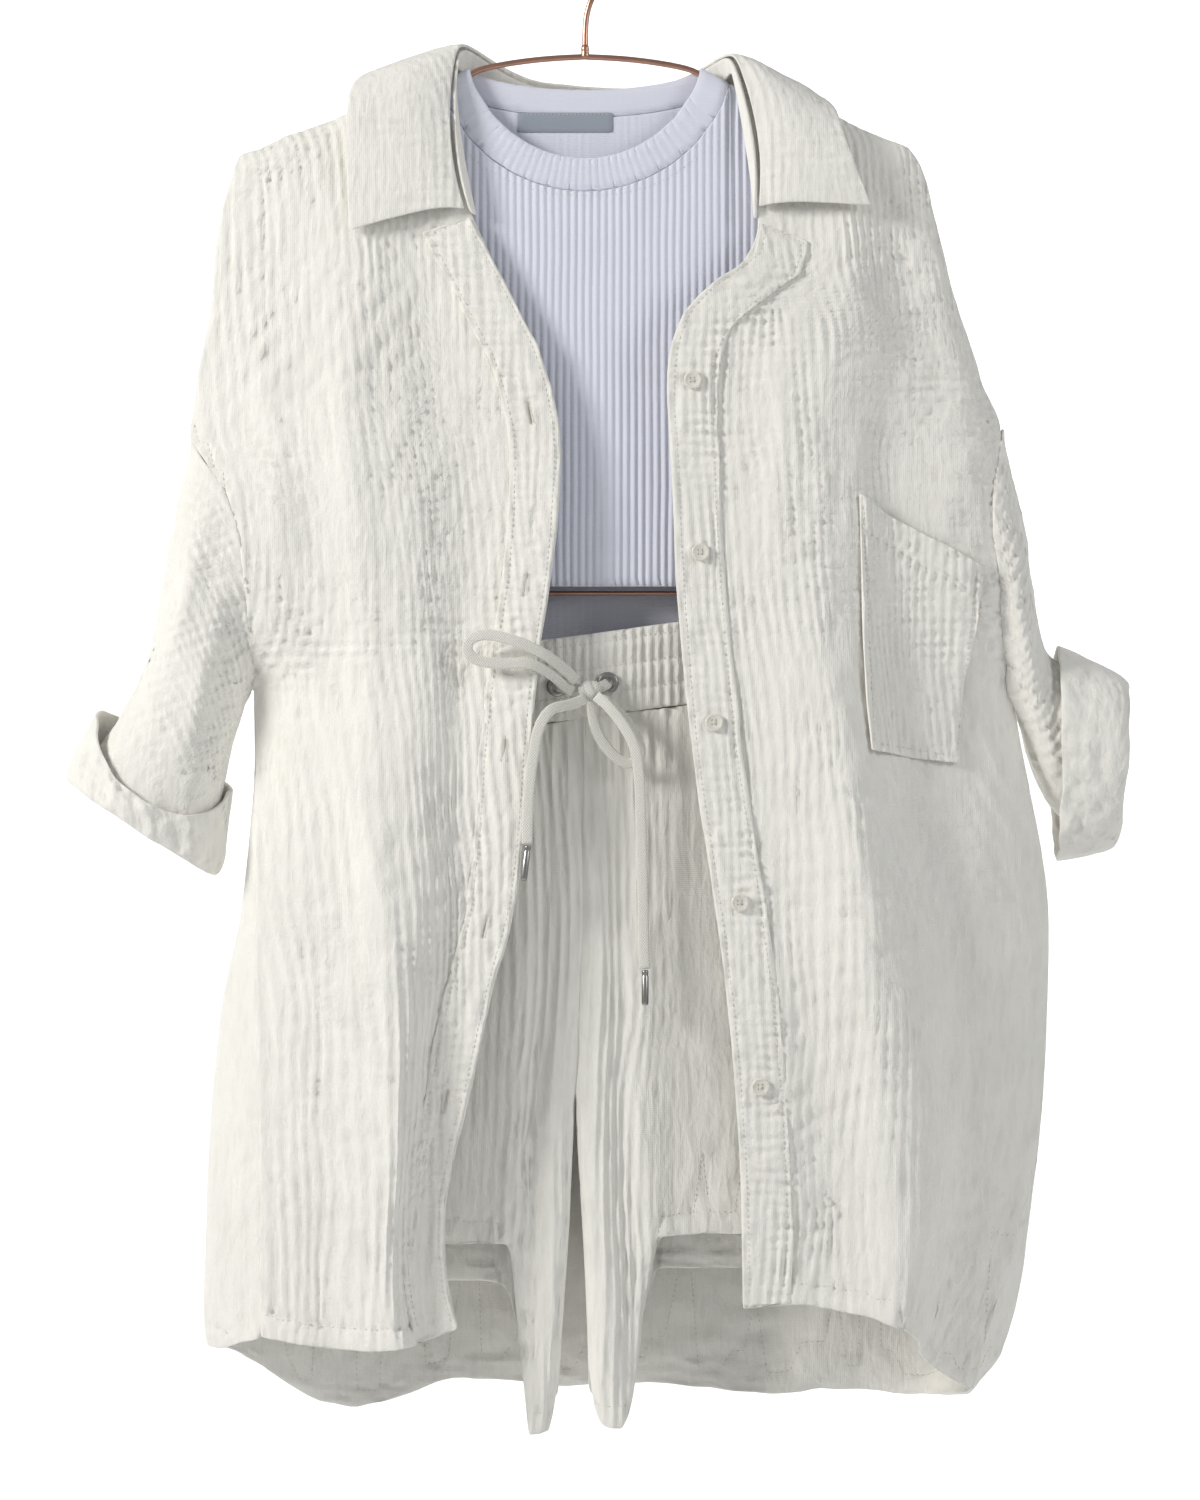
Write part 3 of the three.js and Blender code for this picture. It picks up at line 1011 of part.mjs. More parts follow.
// The legs. A back shares its front's side seam and inner leg, and has its own centre seam.
const CROTCH_ROW = 3;
const LEG_COLUMNS = [0, 0.04, 0.08, 0.12, 0.16, 0.2, 0.25, 0.36, 0.5, 0.65, 0.8, 0.92, 1];
const LEG_SEAT = [9, 15, 12, -16];
const CENTRE_SEAM = measured(LEFT_LEG_FRONT.slice(0, CROTCH_ROW + 1).map((row) => ({ ...row })));
function legPoint(rows, hem, back, s, u) {
  const above = s <= CROTCH_ROW;
  const edge = edgeAt(above ? CENTRE_SEAM : rows, 'edge', s);
  const outer = edgeAt(rows, 'outer', s);
  const full = rows[rows.length - 1].down;
  const down = columnAt(rows, 'down', s) / full;
  const crotch = rows[CROTCH_ROW].down / full;
  const fromWaist = ease(s / 0.8);
  const x = mix(edge.x, outer.x, u);
  let y = mix(edge.y, outer.y, u ** 3);
  if (back) {
    const seat = above ? curveAt([0, 1, 2, CROTCH_ROW], LEG_SEAT, s) : edge.y;
    y = mix(seat, outer.y, u) + LEG_BACK_DEPTH * Math.sin(Math.PI * u ** 0.7) * ease(down / 0.7);
  }
  const tail = mix(edge.z, hem.tail, ease(u / 0.05));
  const hemZ = mix(tail, hem.level, ease((u - hem.from) / (hem.to - hem.from)));
  const belowWaist = waistTopZ(x) - WAIST_BAND - 0.5;
  const level = mix(belowWaist, mix(edge.z, outer.z, u), fromWaist);
  const point = vec(x, y, mix(level, hemZ, ease((down - crotch) / (1 - crotch))));
  const folded = addFolds(point.clone(), LEG_FOLDS, down, u, back ? 1 : -1);
  point.lerp(folded, ease(u / 0.04));
  point.y = mix(back ? waistBackY(x) : waistFrontY(x), point.y, fromWaist);
  return point;
}
const legLevels = [0, 0.5, 1.2, 2.1, 3, 3.6, 4.2, 5];
const crotchLevel = legLevels.indexOf(CROTCH_ROW);
for (const [side, rows] of [[-1, LEFT_LEG_FRONT], [1, RIGHT_LEG_FRONT]]) {
  const hand = side < 0 ? 'left' : 'right';
  const made = {};
  for (const back of [false, true]) {
    const hem = LEG_HEMS[hand + (back ? 'Back' : 'Front')];
    const grid = legLevels.map((s) => LEG_COLUMNS.map((u) => legPoint(rows, hem, back, s, u)));
    const facing = back ? 1 : -1;
    made[back] = side * facing > 0 ? grid : flipped(grid);
  }
  const inner = (back) => (side * (back ? 1 : -1) > 0 ? 0 : LEG_COLUMNS.length - 1);
  const outerEdge = (back) => (side * (back ? 1 : -1) > 0 ? LEG_COLUMNS.length - 1 : 0);
  const out = { false: normalsOf(made.false, false), true: normalsOf(made.true, false) };
  legLevels.forEach((s, i) => {
    for (const back of [false, true]) {
      const facing = back ? 1 : -1;
      const middle = made[back][i][inner(back)];
      middle.x += (side * SEAM_GAP) / 2;
      if (i === crotchLevel) middle.y += facing * (GAUZE / 2 + SEAM_GAP / 2);
      if (i > crotchLevel) middle.y += facing * (SEAM_GAP / 2);
      out[back][i][inner(back)].set(i > crotchLevel ? -side : 0, i > crotchLevel ? 0 : facing, 0);
      made[back][i][outerEdge(back)].y += (facing * SEAM_GAP) / 2;
      out[back][i][outerEdge(back)].set(side, 0, 0);
    }
  });
  for (const back of [false, true]) {
    const name = `shorts_${back ? 'back' : 'front'}_${hand}`;
    add(name, wall(made[back], { thickness: GAUZE, normals: out[back] }), IVORY);
  }
}

// Two eyelets in the middle channel, where the drawstring comes out.
const EYELET = { outer: 6.5, inner: 3, thick: 1.6 };
const EYELETS = { eyelet_left: { x: -16.8, z: -467.5 }, eyelet_right: { x: 13.8, z: -465.5 } };
const eyeletY = waistFrontY(15) - WAIST_CLOTH / 2 - GATHER_HEIGHT - 1.2 - 0.35;
for (const [name, at] of Object.entries(EYELETS)) {
  const { outer, inner, thick } = EYELET;
  const profile = [[inner, 0], [outer, 0], [outer - 0.6, thick], [inner + 0.8, thick], [inner, 0]];
  const ring = new THREE.LatheGeometry(profile.map(([x, y]) => new THREE.Vector2(x, y)), 10);
  add(name, ring.rotateX(Math.PI).translate(at.x, eyeletY, at.z), STEEL);
}

// The drawstring: a flat tape in a bow that faces the front, with metal tips. Each route's points
// are chosen by hand.
const CORD_ROUTES = {
  drawstring_left_lead: { steps: 3, points: [[-16.8, -21.9, -467.5], [-11, -25.2, -468.6], [-1.5,
    -26.3, -469.5]] },
  drawstring_right_lead: { steps: 3, points: [[13.8, -21.9, -465.5], [12, -25, -467], [6.5, -26.3, -469]] },
  drawstring_left_loop: {
    steps: 22,
    points: [
      [-5.2, -34, -464.5], [-12, -41, -458], [-24, -49.5, -449], [-39, -53, -442], [-57, -53, -437.5],
      [-67, -52, -439.5], [-70, -51.5, -446], [-65, -51, -452], [-51, -50.5, -454.5], [-33, -49, -454.5],
      [-20, -42, -461], [-12, -34, -468], [-7.2, -30.2, -471],
    ],
  },
  drawstring_right_loop: {
    steps: 16,
    points: [
      [4.2, -30.5, -476.8], [5, -30.5, -487], [9, -31, -499], [17, -31.4, -509], [26, -31.6, -514],
        [33, -31.6, -509],
      [31, -31.2, -499], [25, -30.5, -489], [16, -30, -480], [9.4, -30.2, -474.9],
    ],
  },
  drawstring_left_tail: {
    steps: 12,
    points: [
      [0, -35.2, -475.2], [-8, -42, -478.6], [-20, -50, -482], [-27, -53.5, -492], [-30.5, -55, -508],
      [-33, -56, -528], [-34, -57, -546], [-34.4, -57.5, -562],
    ],
  },
  drawstring_right_tail: {
    steps: 12,
    points: [
      [6.6, -35.1, -473.6], [14, -37, -480], [24, -38, -493], [30, -38.5, -506], [32.5, -38.5, -524],
      [33.5, -38, -550], [34.5, -38, -585], [35, -38, -615], [35.8, -38, -637],
    ],
  },
};
function tapeAlong({ points, steps }) {
  const route = new THREE.CatmullRomCurve3(points.map(([x, y, z]) => vec(x, y, z)));
  const grid = spread(steps).map((t) => {
    const across = route.getTangentAt(t).cross(vec(0, -1, 0)).normalize();
    return [-1, 1].map((side) => route.getPointAt(t).addScaledVector(across, (side * CORD_WIDTH) / 2));
  });
  return wall(grid, { thickness: CORD_THICK });
}
for (const [name, route] of Object.entries(CORD_ROUTES)) add(name, tapeAlong(route), IVORY);
const knot = new THREE.SphereGeometry(1, 8, 6).scale(7.7, 4.4, 6.8).translate(2.6, -31.4, -469.5);
add('drawstring_knot', knot, IVORY);
const AGLETS = {
  aglet_left: { x: -35.2, y: -57.6, top: -562.5, length: 21, lean: 0.12 },
  aglet_right: { x: 36, y: -38, top: -637.5, length: 21, lean: 0 },
};
for (const [name, at] of Object.entries(AGLETS)) {
  const tip = new THREE.CylinderGeometry(2.1, 2, at.length, 10).rotateX(Math.PI / 2).rotateY(at.lean);
  add(name, tip.translate(at.x, at.y, at.top - at.length / 2 - 0.3), STEEL);
}

export default root;
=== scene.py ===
"""A lounge set on a wire hanger: an open crinkled gauze shirt, a ribbed knit top inside it, and gauze
shorts clipped by their waistband to the hanger's bar. Lengths named in the tables are millimetres, in
the frame's axes: +Z up, front at -Y, the origin at the top of the hook's inside."""

import math

import bmesh
import bpy
import numpy as np
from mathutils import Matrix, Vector
from mathutils.bvhtree import BVHTree


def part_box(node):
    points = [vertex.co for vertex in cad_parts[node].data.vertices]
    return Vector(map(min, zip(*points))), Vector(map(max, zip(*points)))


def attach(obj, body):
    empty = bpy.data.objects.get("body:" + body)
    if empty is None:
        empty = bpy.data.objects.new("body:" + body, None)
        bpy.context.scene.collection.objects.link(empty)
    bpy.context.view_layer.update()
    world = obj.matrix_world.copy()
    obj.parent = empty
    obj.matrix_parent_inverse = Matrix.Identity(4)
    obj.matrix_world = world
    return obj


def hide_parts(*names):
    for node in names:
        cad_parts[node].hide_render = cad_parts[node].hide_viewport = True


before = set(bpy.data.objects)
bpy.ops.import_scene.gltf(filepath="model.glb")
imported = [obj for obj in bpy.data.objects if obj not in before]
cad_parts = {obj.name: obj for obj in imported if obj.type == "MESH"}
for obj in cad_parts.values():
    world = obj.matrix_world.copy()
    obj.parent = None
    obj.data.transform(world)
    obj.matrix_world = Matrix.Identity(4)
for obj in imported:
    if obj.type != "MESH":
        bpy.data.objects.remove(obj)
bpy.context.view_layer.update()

bl_info = {
    "name": "Lounge set on a hanger",
    "version": (1, 0, 0),
    "blender": (4, 5, 0),
    "location": "3D View > Sidebar > Lounge Set",
    "description": "Dresses an open gauze shirt, a ribbed top and gauze shorts on a wire hanger",
    "category": "Object",
}

MM = 0.001

# The drawstring's runs, point by point as they lie on the frame.
CORD_ROUTES = {
    "left_lead": ((-16.8, -21.9, -467.5), (-11, -25.2, -468.6), (-1.5, -26.3, -469.5)),
    "right_lead": ((13.8, -21.9, -465.5), (12, -25, -467), (6.5, -26.3, -469)),
    "left_loop": (
        (-5.2, -34, -464.5), (-12, -41, -458), (-24, -49.5, -449), (-39, -53, -442), (-57, -53, -437.5),
        (-67, -52, -439.5), (-70, -51.5, -446), (-65, -51, -452), (-51, -50.5, -454.5), (-33, -49, -454.5),
        (-20, -42, -461), (-12, -34, -468), (-7.2, -30.2, -471),
    ),
    "right_loop": (
        (4.2, -30.5, -476.8), (5, -30.5, -487), (9, -31, -499), (17, -31.4, -509), (26, -31.6, -514),
        (33, -31.6, -509), (31, -31.2, -499), (25, -30.5, -489), (16, -30, -480), (9.4, -30.2, -474.9),
    ),
    "left_tail": (
        (0, -35.2, -475.2), (-8, -42, -478.6), (-20, -50, -482), (-27, -53.5, -492), (-30.5, -55, -508),
        (-33, -56, -528), (-34, -57, -546), (-34.4, -57.5, -562),
    ),
    "right_tail": (
        (6.6, -35.1, -473.6), (14, -37, -480), (24, -38, -493), (30, -38.5, -506), (32.5, -38.5, -524),
        (33.5, -38, -550), (34.5, -38, -585), (35, -38, -615), (35.8, -38, -637),
    ),
}


# Folds dragged into the fronts: a line of (x, z) corners, how far it stands out, and its half width.
FRONT_DRAGS = {
    "left": (
        (((-196, -420), (-160, -470), (-128, -560), (-112, -640)), 3.0, 9),
        (((-188, -620), (-160, -650), (-128, -690), (-104, -740)), 3.0, 8),
        (((-190, -700), (-158, -730), (-128, -775), (-108, -810)), 2.5, 8),
        (((-150, -230), (-146, -320), (-150, -410)), 2.0, 10),
        (((-200, -240), (-186, -330), (-180, -410)), 2.4, 9),
        (((-60, -420), (-66, -520), (-74, -620)), 2.0, 7),
        (((-142, -215), (-131, -476), (-119, -626), (-104, -776), (-94, -852)), 4.5, 12),
    ),
    "right": (
        (((168, -300), (160, -380), (166, -460)), 2.0, 9),
        (((120, -240), (118, -330), (112, -420)), 2.2, 9),
        (((140, -520), (150, -620), (152, -720)), 2.6, 10),
        (((208, -540), (206, -640), (212, -760)), 2.4, 9),
        (((232, -520), (238, -620), (236, -720)), 1.6, 8),
        (((110, -620), (120, -700), (126, -790)), 2.0, 9),
        (((146, -455), (158, -520), (163, -600), (175, -716), (184, -806), (188, -850)), 4.0, 12),
    ),
}

# The sleeves: how far their crinkle slants in degrees, the middle of the rolled cuff as (x, z) corners,
# and the folds dragged into them.
SLEEVES = {
    "left": (24.0, ((-312, -505), (-285, -530), (-255, -556), (-220, -580)), (
        (((-225, -350), (-244, -420), (-262, -480)), 3.0, 8),
        (((-215, -400), (-226, -460), (-246, -520)), 2.6, 7),
        (((-232, -500), (-238, -540), (-236, -575)), 2.4, 6),
    )),
    "right": (-30.0, ((300, -456), (302, -500), (300, -540), (298, -574)), (
        (((248, -340), (262, -420), (278, -470)), 2.6, 8),
        (((268, -430), (276, -480), (286, -520)), 2.4, 7),
    )),
}

# An eyelet's ring in section, as (radius, height) corners.
EYELET_PROFILE = ((3.0, -0.5), (3.0, 0.2), (3.3, 0.75), (4.2, 1.0), (5.4, 0.85), (6.3, 0.3), (6.5, -0.3),
                  (6.4, -0.6), (4.5, -0.7))

# A button from its middle out and round to its back, as (radius, height) corners.
BUTTON_PROFILE = (
    (0.01, 0.55), (0.5, 0.55), (0.9, 0.55), (1.3, 0.55), (1.6, 0.55), (1.9, 0.55), (2.2, 0.56), (2.6, 0.58),
    (3.1, 0.66), (3.6, 0.82), (4.0, 1.0), (4.4, 1.12), (4.8, 1.12), (5.1, 0.95), (5.35, 0.55), (5.45, 0.1),
    (5.3, -0.4), (4.6, -0.8), (0.01, -0.8),
)

# The heights at which the left band's buttonholes lie.
BUTTONHOLES = (-303, -407, -506, -611, -716, -800)

# How far the shirt's crinkles stand apart, and the seed that every piece of the shirt shares, so that
# its crinkle runs on from one piece to the next.
SHIRT_PITCH = 5.8
SHIRT_SEED = 41

# How far above its edge a hem is stitched.
HEM_TURN = 13

# The shorts' seams below the waistband and down the middle, as (x, z) corners.
WAIST_SEAM = ((-160, -492), (160, -484))
CENTRE_SEAM = ((0, -480), (-1, -560), (-3, -640), (-6, -712))

# The top's ribs, from the middle of one to the middle of the next, in millimetres.
RIB_PITCH = 356 / 78


# ---------- shaping cloth ----------


def cell_value(i, j, k, seed):
    """A settled number from -1 to 1 for each whole-numbered cell."""
    n = (i * 374761393 + j * 668265263 + k * 1442695041 + seed * 69069) & 0xFFFFFFFF
    n = ((n ^ (n >> 13)) * 1274126177) & 0xFFFFFFFF
    return ((n ^ (n >> 16)) & 0xFFFF) / 32767.5 - 1.0


def rumple(points, size, seed):
    """Smooth unevenness from -1 to 1, with cells of the given size in millimetres on each axis."""
    scaled = points / np.array(size, dtype=float)
    base = np.floor(scaled).astype(np.int64)
    part = scaled - base
    part = part * part * (3 - 2 * part)
    total = np.zeros(len(points))
    for corner in np.ndindex(2, 2, 2):
        weight = np.prod(np.where(np.array(corner), part, 1 - part), axis=1)
        cell = base + np.array(corner)
        total += weight * cell_value(cell[:, 0], cell[:, 1], cell[:, 2], seed)
    return total


def slanted(points, degrees):
    """The points turned about the front-to-back axis, so that ridges run at a slant."""
    turn = math.radians(degrees)
    turned = points.copy()
    turned[:, 0] = points[:, 0] * math.cos(turn) + points[:, 2] * math.sin(turn)
    turned[:, 2] = -points[:, 0] * math.sin(turn) + points[:, 2] * math.cos(turn)
    return turned


def gauze_crinkle(points, pitch, slant=0.0, seed=1):
    """Crimped double gauze: near-parallel wandering ridges down the cloth, crossed in patches by
    short puckers that break them into a loose grid."""
    turned = slanted(points, slant)
    along_cloth = turned[:, 0] + 0.8 * turned[:, 1]
    along_cloth = along_cloth + 2.6 * rumple(turned, (26, 26, 60), seed + 11)
    along_cloth = along_cloth + 1.1 * rumple(turned, (10, 10, 30), seed + 12)
    ridge = 1 - 2 * np.abs(np.sin(math.pi * along_cloth / pitch)) ** 0.8
    between = 1 - 2 * np.abs(rumple(turned, (pitch * 0.7, pitch * 0.7, pitch * 4), seed + 1))
    strength = 0.65 + 0.45 * rumple(turned, (16, 16, 42), seed + 3)
    level = turned[:, 2] + 1.3 * rumple(turned, (9, 9, 9), seed + 4)
    crossing = 1 - 2 * np.abs(np.sin(math.pi * level / (pitch * 1.15))) ** 0.7
    patch = np.clip(0.62 + 0.8 * rumple(points, (48, 48, 64), seed + 5), 0, 1)
    broken = np.clip(0.5 + rumple(turned, (8, 8, 5), seed + 6), 0, 1)
    lumps = rumple(turned, (18, 18, 26), seed + 2)
    return 0.6 * ridge * strength + 0.18 * between + 0.85 * crossing * patch * broken + 0.4 * lumps


def gather_waves(points, pitch, seed=7):
    """Cloth drawn up on elastic: close upright pleats, uneven in depth."""
    place = points[:, 0] + 1.2 * rumple(points, (14, 40, 60), seed)
    depth = 0.75 + 0.4 * rumple(points, (pitch * 1.6, 40, 30), seed + 1)
    return depth * (1 - 2 * np.abs(np.sin(math.pi * place / pitch)) ** 0.9)


def puckered(points, pitch, seed=5):
    """Gathered seams: small crossing puckers, shorter than the ridges of the open cloth."""
    return 0.6 * rumple(points, (pitch, pitch, pitch), seed) + 0.5 * rumple(
        points, (pitch * 0.7, pitch, pitch * 2), seed + 1
    )


def along(points, line):
    """For points and a line given by (x, z) corners: each point's distance from it and place on it."""
    line = np.array(line, dtype=float)
    flat = points[:, (0, 2)]
    nearest = np.full(len(points), 1e9)
    place = np.zeros(len(points))
    walked = 0.0
    for start, end in zip(line[:-1], line[1:]):
        way = end - start
        length = float(np.hypot(*way))
        if length < 1e-6:
            continue
        share = np.clip((flat - start) @ way / length**2, 0, 1)
        gap = np.hypot(*(flat - start - share[:, None] * way).T)
        closer = gap < nearest
        nearest[closer] = gap[closer]
        place[closer] = walked + share[closer] * length
        walked += length
    return nearest, place


def gap_from(points, line):
    """Each point's distance from a line given by (x, z) corners."""
    return along(points, line)[0]


def unit(way):
    """A direction of length one."""
    return way / np.linalg.norm(way)


def sewn_groove(points, line, depth=0.8, width=1.3, pitch=6.0):
    """A row of stitching pulled into the cloth, with the puckers that it gathers on both sides."""
    gap, place = along(points, line)
    sunk = -depth * np.exp(-((gap / width) ** 2))
    pulled = 0.35 * depth * np.sin(2 * math.pi * place / pitch) * np.exp(-((gap / (4 * width)) ** 2))
    return sunk + pulled


def drag_fold(points, line, height, width):
    """One soft fold along a line, dying away at its two ends."""
    gap, place = along(points, line)
    whole = float(np.sum(np.hypot(*np.diff(np.array(line, dtype=float), axis=0).T)))
    ends = np.sin(np.pi * np.clip(place / whole, 0, 1)) ** 0.6
    return height * ends * np.exp(-((gap / width) ** 2))


def places_of(mesh):
    """A mesh's corners in millimetres, as rows."""
    places = np.empty(len(mesh.vertices) * 3)
    mesh.vertices.foreach_get("co", places)
    return places.reshape(-1, 3) / MM


def hem_line(node, lift=0.0, step=5.0):
    """The lower edge of a panel as (x, z) corners, raised by lift millimetres."""
    places = places_of(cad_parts[node].data)
    low, high = places[:, 0].min(), places[:, 0].max()
    corners = []
    for x in np.arange(low + 1, high, step):
        near = places[np.abs(places[:, 0] - x) < 9]
        if len(near):
            corners.append((x, near[:, 2].min() + lift))
    return corners


def slice_at(node, z):
    """The points in millimetres where a node's edges cross one height, from left to right."""
    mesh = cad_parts[node].data
    ends = np.empty(len(mesh.edges) * 2, dtype=np.int64)
    mesh.edges.foreach_get("vertices", ends)
    pairs = places_of(mesh)[ends.reshape(-1, 2)]
    first, second = pairs[:, 0], pairs[:, 1]
    crossing = (first[:, 2] - z) * (second[:, 2] - z) < 0
    first, second = first[crossing], second[crossing]
    share = ((z - first[:, 2]) / (second[:, 2] - first[:, 2]))[:, None]
    cut = first + (second - first) * share
    return cut[np.argsort(cut[:, 0])]


def side_line(node, side, inset=0.0, step=8.0):
    """One long edge of a strip as (x, z) corners, set in by inset millimetres."""
    places = places_of(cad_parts[node].data)
    low, high = places[:, 2].min(), places[:, 2].max()
    corners = []
    for z in np.arange(high - 3, low + 2, -step):
        cut = slice_at(node, z)
        if len(cut) > 1:
            corners.append((cut[0, 0] + inset if side < 0 else cut[-1, 0] - inset, z))
    return corners


def mesh_copy(node, name, levels, keep_angle=50.0, thin=3.4, swell=0.0):
    """A node's shape as a new smooth piece: its rims stay crisp and its faces are divided evenly.
    Swell is how many millimetres it grows on every side, which closes seams between its neighbours."""
    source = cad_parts[node]
    work = bmesh.new()
    work.from_mesh(source.data)
    bmesh.ops.remove_doubles(work, verts=work.verts, dist=1e-6)
    bmesh.ops.join_triangles(work, faces=work.faces, angle_face_threshold=0.8, angle_shape_threshold=3.1)
    crease = work.edges.layers.float.get("crease_edge") or work.edges.layers.float.new("crease_edge")
    for edge in work.edges:
        if len(edge.link_faces) != 2:
            continue
        angle = math.degrees(edge.calc_face_angle(0.0))
        narrow = min(min(side.calc_length() for side in face.edges) for face in edge.link_faces)
        if angle > keep_angle and narrow < thin * MM:
            edge[crease] = 0.9
    mesh = bpy.data.meshes.new(name)
    work.to_mesh(mesh)
    work.free()
    piece = bpy.data.objects.new(name, mesh)
    bpy.context.scene.collection.objects.link(piece)
    if levels:
        divide = piece.modifiers.new("Even cloth", "SUBSURF")
        divide.levels = divide.render_levels = levels
        bpy.context.view_layer.update()
        graph = bpy.context.evaluated_depsgraph_get()
        shaped = bpy.data.meshes.new_from_object(piece.evaluated_get(graph))
        piece.modifiers.clear()
        piece.data = shaped
        bpy.data.meshes.remove(mesh)
    if swell:
        normals = np.empty(len(piece.data.vertices) * 3)
        piece.data.vertices.foreach_get("normal", normals)
        move_by(piece, normals.reshape(-1, 3) * swell)
    piece.data.materials.clear()
    piece.data.shade_smooth()
    piece.data.name = name
    return piece


def lap_seam(piece, carriers, reach=7.0, lap=2.2, rise=0.5):
    """Laps a sleeve's end over the panels that it is sewn to, away from the sleeve's own middle."""
    places = places_of(piece.data)
    normals = np.empty(len(places) * 3)
    piece.data.vertices.foreach_get("normal", normals)
    normals = normals.reshape(-1, 3)
    trees = [tree_of(carrier) for carrier in carriers]
    middle = places.mean(axis=0)
    shift = np.zeros_like(places)
    for k, place in enumerate(places):
        spot = Vector(place * MM)
        nearest = [tree.find_nearest(spot, reach * MM) for tree in trees]
        gaps = [found[3] for found in nearest if found[0] is not None]
        if not gaps:
            continue
        share = (1 - min(gaps) / MM / reach) ** 2
        shift[k] = share * (lap * unit(place - middle) + rise * normals[k])
    move_by(piece, shift)


def settle(piece, node, material):
    """Puts a finished piece on the frame in place of its node."""
    piece.data.materials.append(material)
    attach(piece, "root")
    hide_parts(node)
    return piece


def move_by(piece, shift):
    """Moves a piece's corners by millimetres along each axis."""
    places = places_of(piece.data) + shift
    piece.data.vertices.foreach_set("co", (places * MM).ravel())
    piece.data.update()


def fine_band(node, name, thick, columns=22, step=1.5):
    """A front band as one even strip over its node."""
    places = places_of(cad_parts[node].data)
    low, high = places[:, 2].min() + 0.4, places[:, 2].max() - 0.4
    front = []
    for z in np.arange(high, low, -step):
        cut = slice_at(node, z)
        if len(cut) < 4:
            continue
        xs = np.linspace(cut[0, 0], cut[-1, 0], columns)
        spots = np.round((cut[:, 0] - cut[0, 0]) / 2.0)
        knots = [cut[spots == spot] for spot in np.unique(spots)]
        at = [float(knot[:, 0].mean()) for knot in knots]
        depth = [float(knot[:, 1].min()) for knot in knots]
        front.append([(x, float(np.interp(x, at, depth)), z) for x in xs])
    front = np.array(front)
    for _ in range(3):
        front[1:-1, :, 1] = (front[:-2, :, 1] + 2 * front[1:-1, :, 1] + front[2:, :, 1]) / 4
    rows = len(front)
    behind = front + np.array((0, thick, 0))
    corners = np.concatenate((front.reshape(-1, 3), behind.reshape(-1, 3)))
    back = rows * columns
    faces = []
    for i in range(rows - 1):
        for j in range(columns - 1):
            a = i * columns + j
            faces.append((a, a + columns, a + columns + 1, a + 1))
            faces.append((back + a, back + a + 1, back + a + columns + 1, back + a + columns))
        for j, flip in ((0, False), (columns - 1, True)):
            a = i * columns + j
            side = (a, back + a, back + a + columns, a + columns)
            faces.append(side[::-1] if flip else side)
    for i, flip in ((0, True), (rows - 1, False)):
        for j in range(columns - 1):
            a = i * columns + j
            end = (a, a + 1, back + a + 1, back + a)
            faces.append(end[::-1] if not flip else end)
    return bare_piece(name, corners, faces)


def bare_piece(name, corners, faces, smooth=True):
    """A new object from corners in millimetres and faces."""
    mesh = bpy.data.meshes.new(name)
    mesh.from_pydata([tuple(c * MM for c in corner) for corner in corners], [], faces)
    mesh.update()
    if smooth:
        mesh.shade_smooth()
    piece = bpy.data.objects.new(name, mesh)
    bpy.context.scene.collection.objects.link(piece)
    return piece


def mesh_piece(name, corners, faces, material, smooth=True):
    """A finished piece of its own, from corners in millimetres and faces."""
    piece = bare_piece(name, corners, faces, smooth)
    piece.data.materials.append(material)
    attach(piece, "root")
    return piece


def tree_of(piece):
    """A piece's faces, ready for rays that find where it lies."""
    mesh = piece.data
    return BVHTree.FromPolygons([v.co for v in mesh.vertices], [p.vertices for p in mesh.polygons])


def stitch_row(name, lines, carrier, material, pitch=3.4, length=2.4, thick=0.5, front=True):
    """Rows of thread stitches lying on a piece along (x, z) lines, laid on from the front or back."""
    tree = tree_of(carrier)
    away = Vector((0, -1, 0)) if front else Vector((0, 1, 0))
    corners, faces = [], []
    for line in lines:
        line = np.array(line, dtype=float)
        steps = np.hypot(*np.diff(line, axis=0).T)
        marks = np.concatenate(([0], np.cumsum(steps)))
        for place in np.arange(pitch, marks[-1] - pitch, pitch):
            ends = []
            for reach in (-length / 2, 0, length / 2):
                x = np.interp(place + reach, marks, line[:, 0])
                z = np.interp(place + reach, marks, line[:, 1])
                hit = tree.ray_cast(Vector((x * MM, 0, z * MM)) + away * 0.2, -away, 0.4)
                if hit[0] is None:
                    break
                ends.append(np.array(hit[0]) / MM + np.array(away) * 0.1)
            if len(ends) < 3 or abs(ends[0][1] - ends[2][1]) > 2.5:
                continue
            way = ends[2] - ends[0]
            aside = np.array((way[2], 0, -way[0]))
            aside = aside / max(np.linalg.norm(aside), 1e-6) * thick / 2
            out = np.array(away) * thick
            ends[1] = (ends[0] + ends[2]) / 2
            first = len(corners)
            corners += [ends[0], ends[1] - aside, ends[1] + out, ends[1] + aside, ends[1] - out * 0.6,
                        ends[2]]
            for a, b in ((1, 2), (2, 3), (3, 4), (4, 1)):
                faces.append((first, first + a, first + b))
                faces.append((first + 5, first + b, first + a))
    if not corners:
        raise RuntimeError(f"no stitch of {name} lies on {carrier.name}")
    return mesh_piece(name, corners, faces, material)


# ---------- finishes ----------


NOISE = "ShaderNodeTexNoise"
WAVE = "ShaderNodeTexWave"


def new_material(name):
    """A material with its shader and the tools to add to its tree."""
    material = bpy.data.materials.new(name)
    material.use_nodes = True
    tree = material.node_tree
    shader = next(n for n in tree.nodes if n.type == "BSDF_PRINCIPLED")
    return material, tree, shader


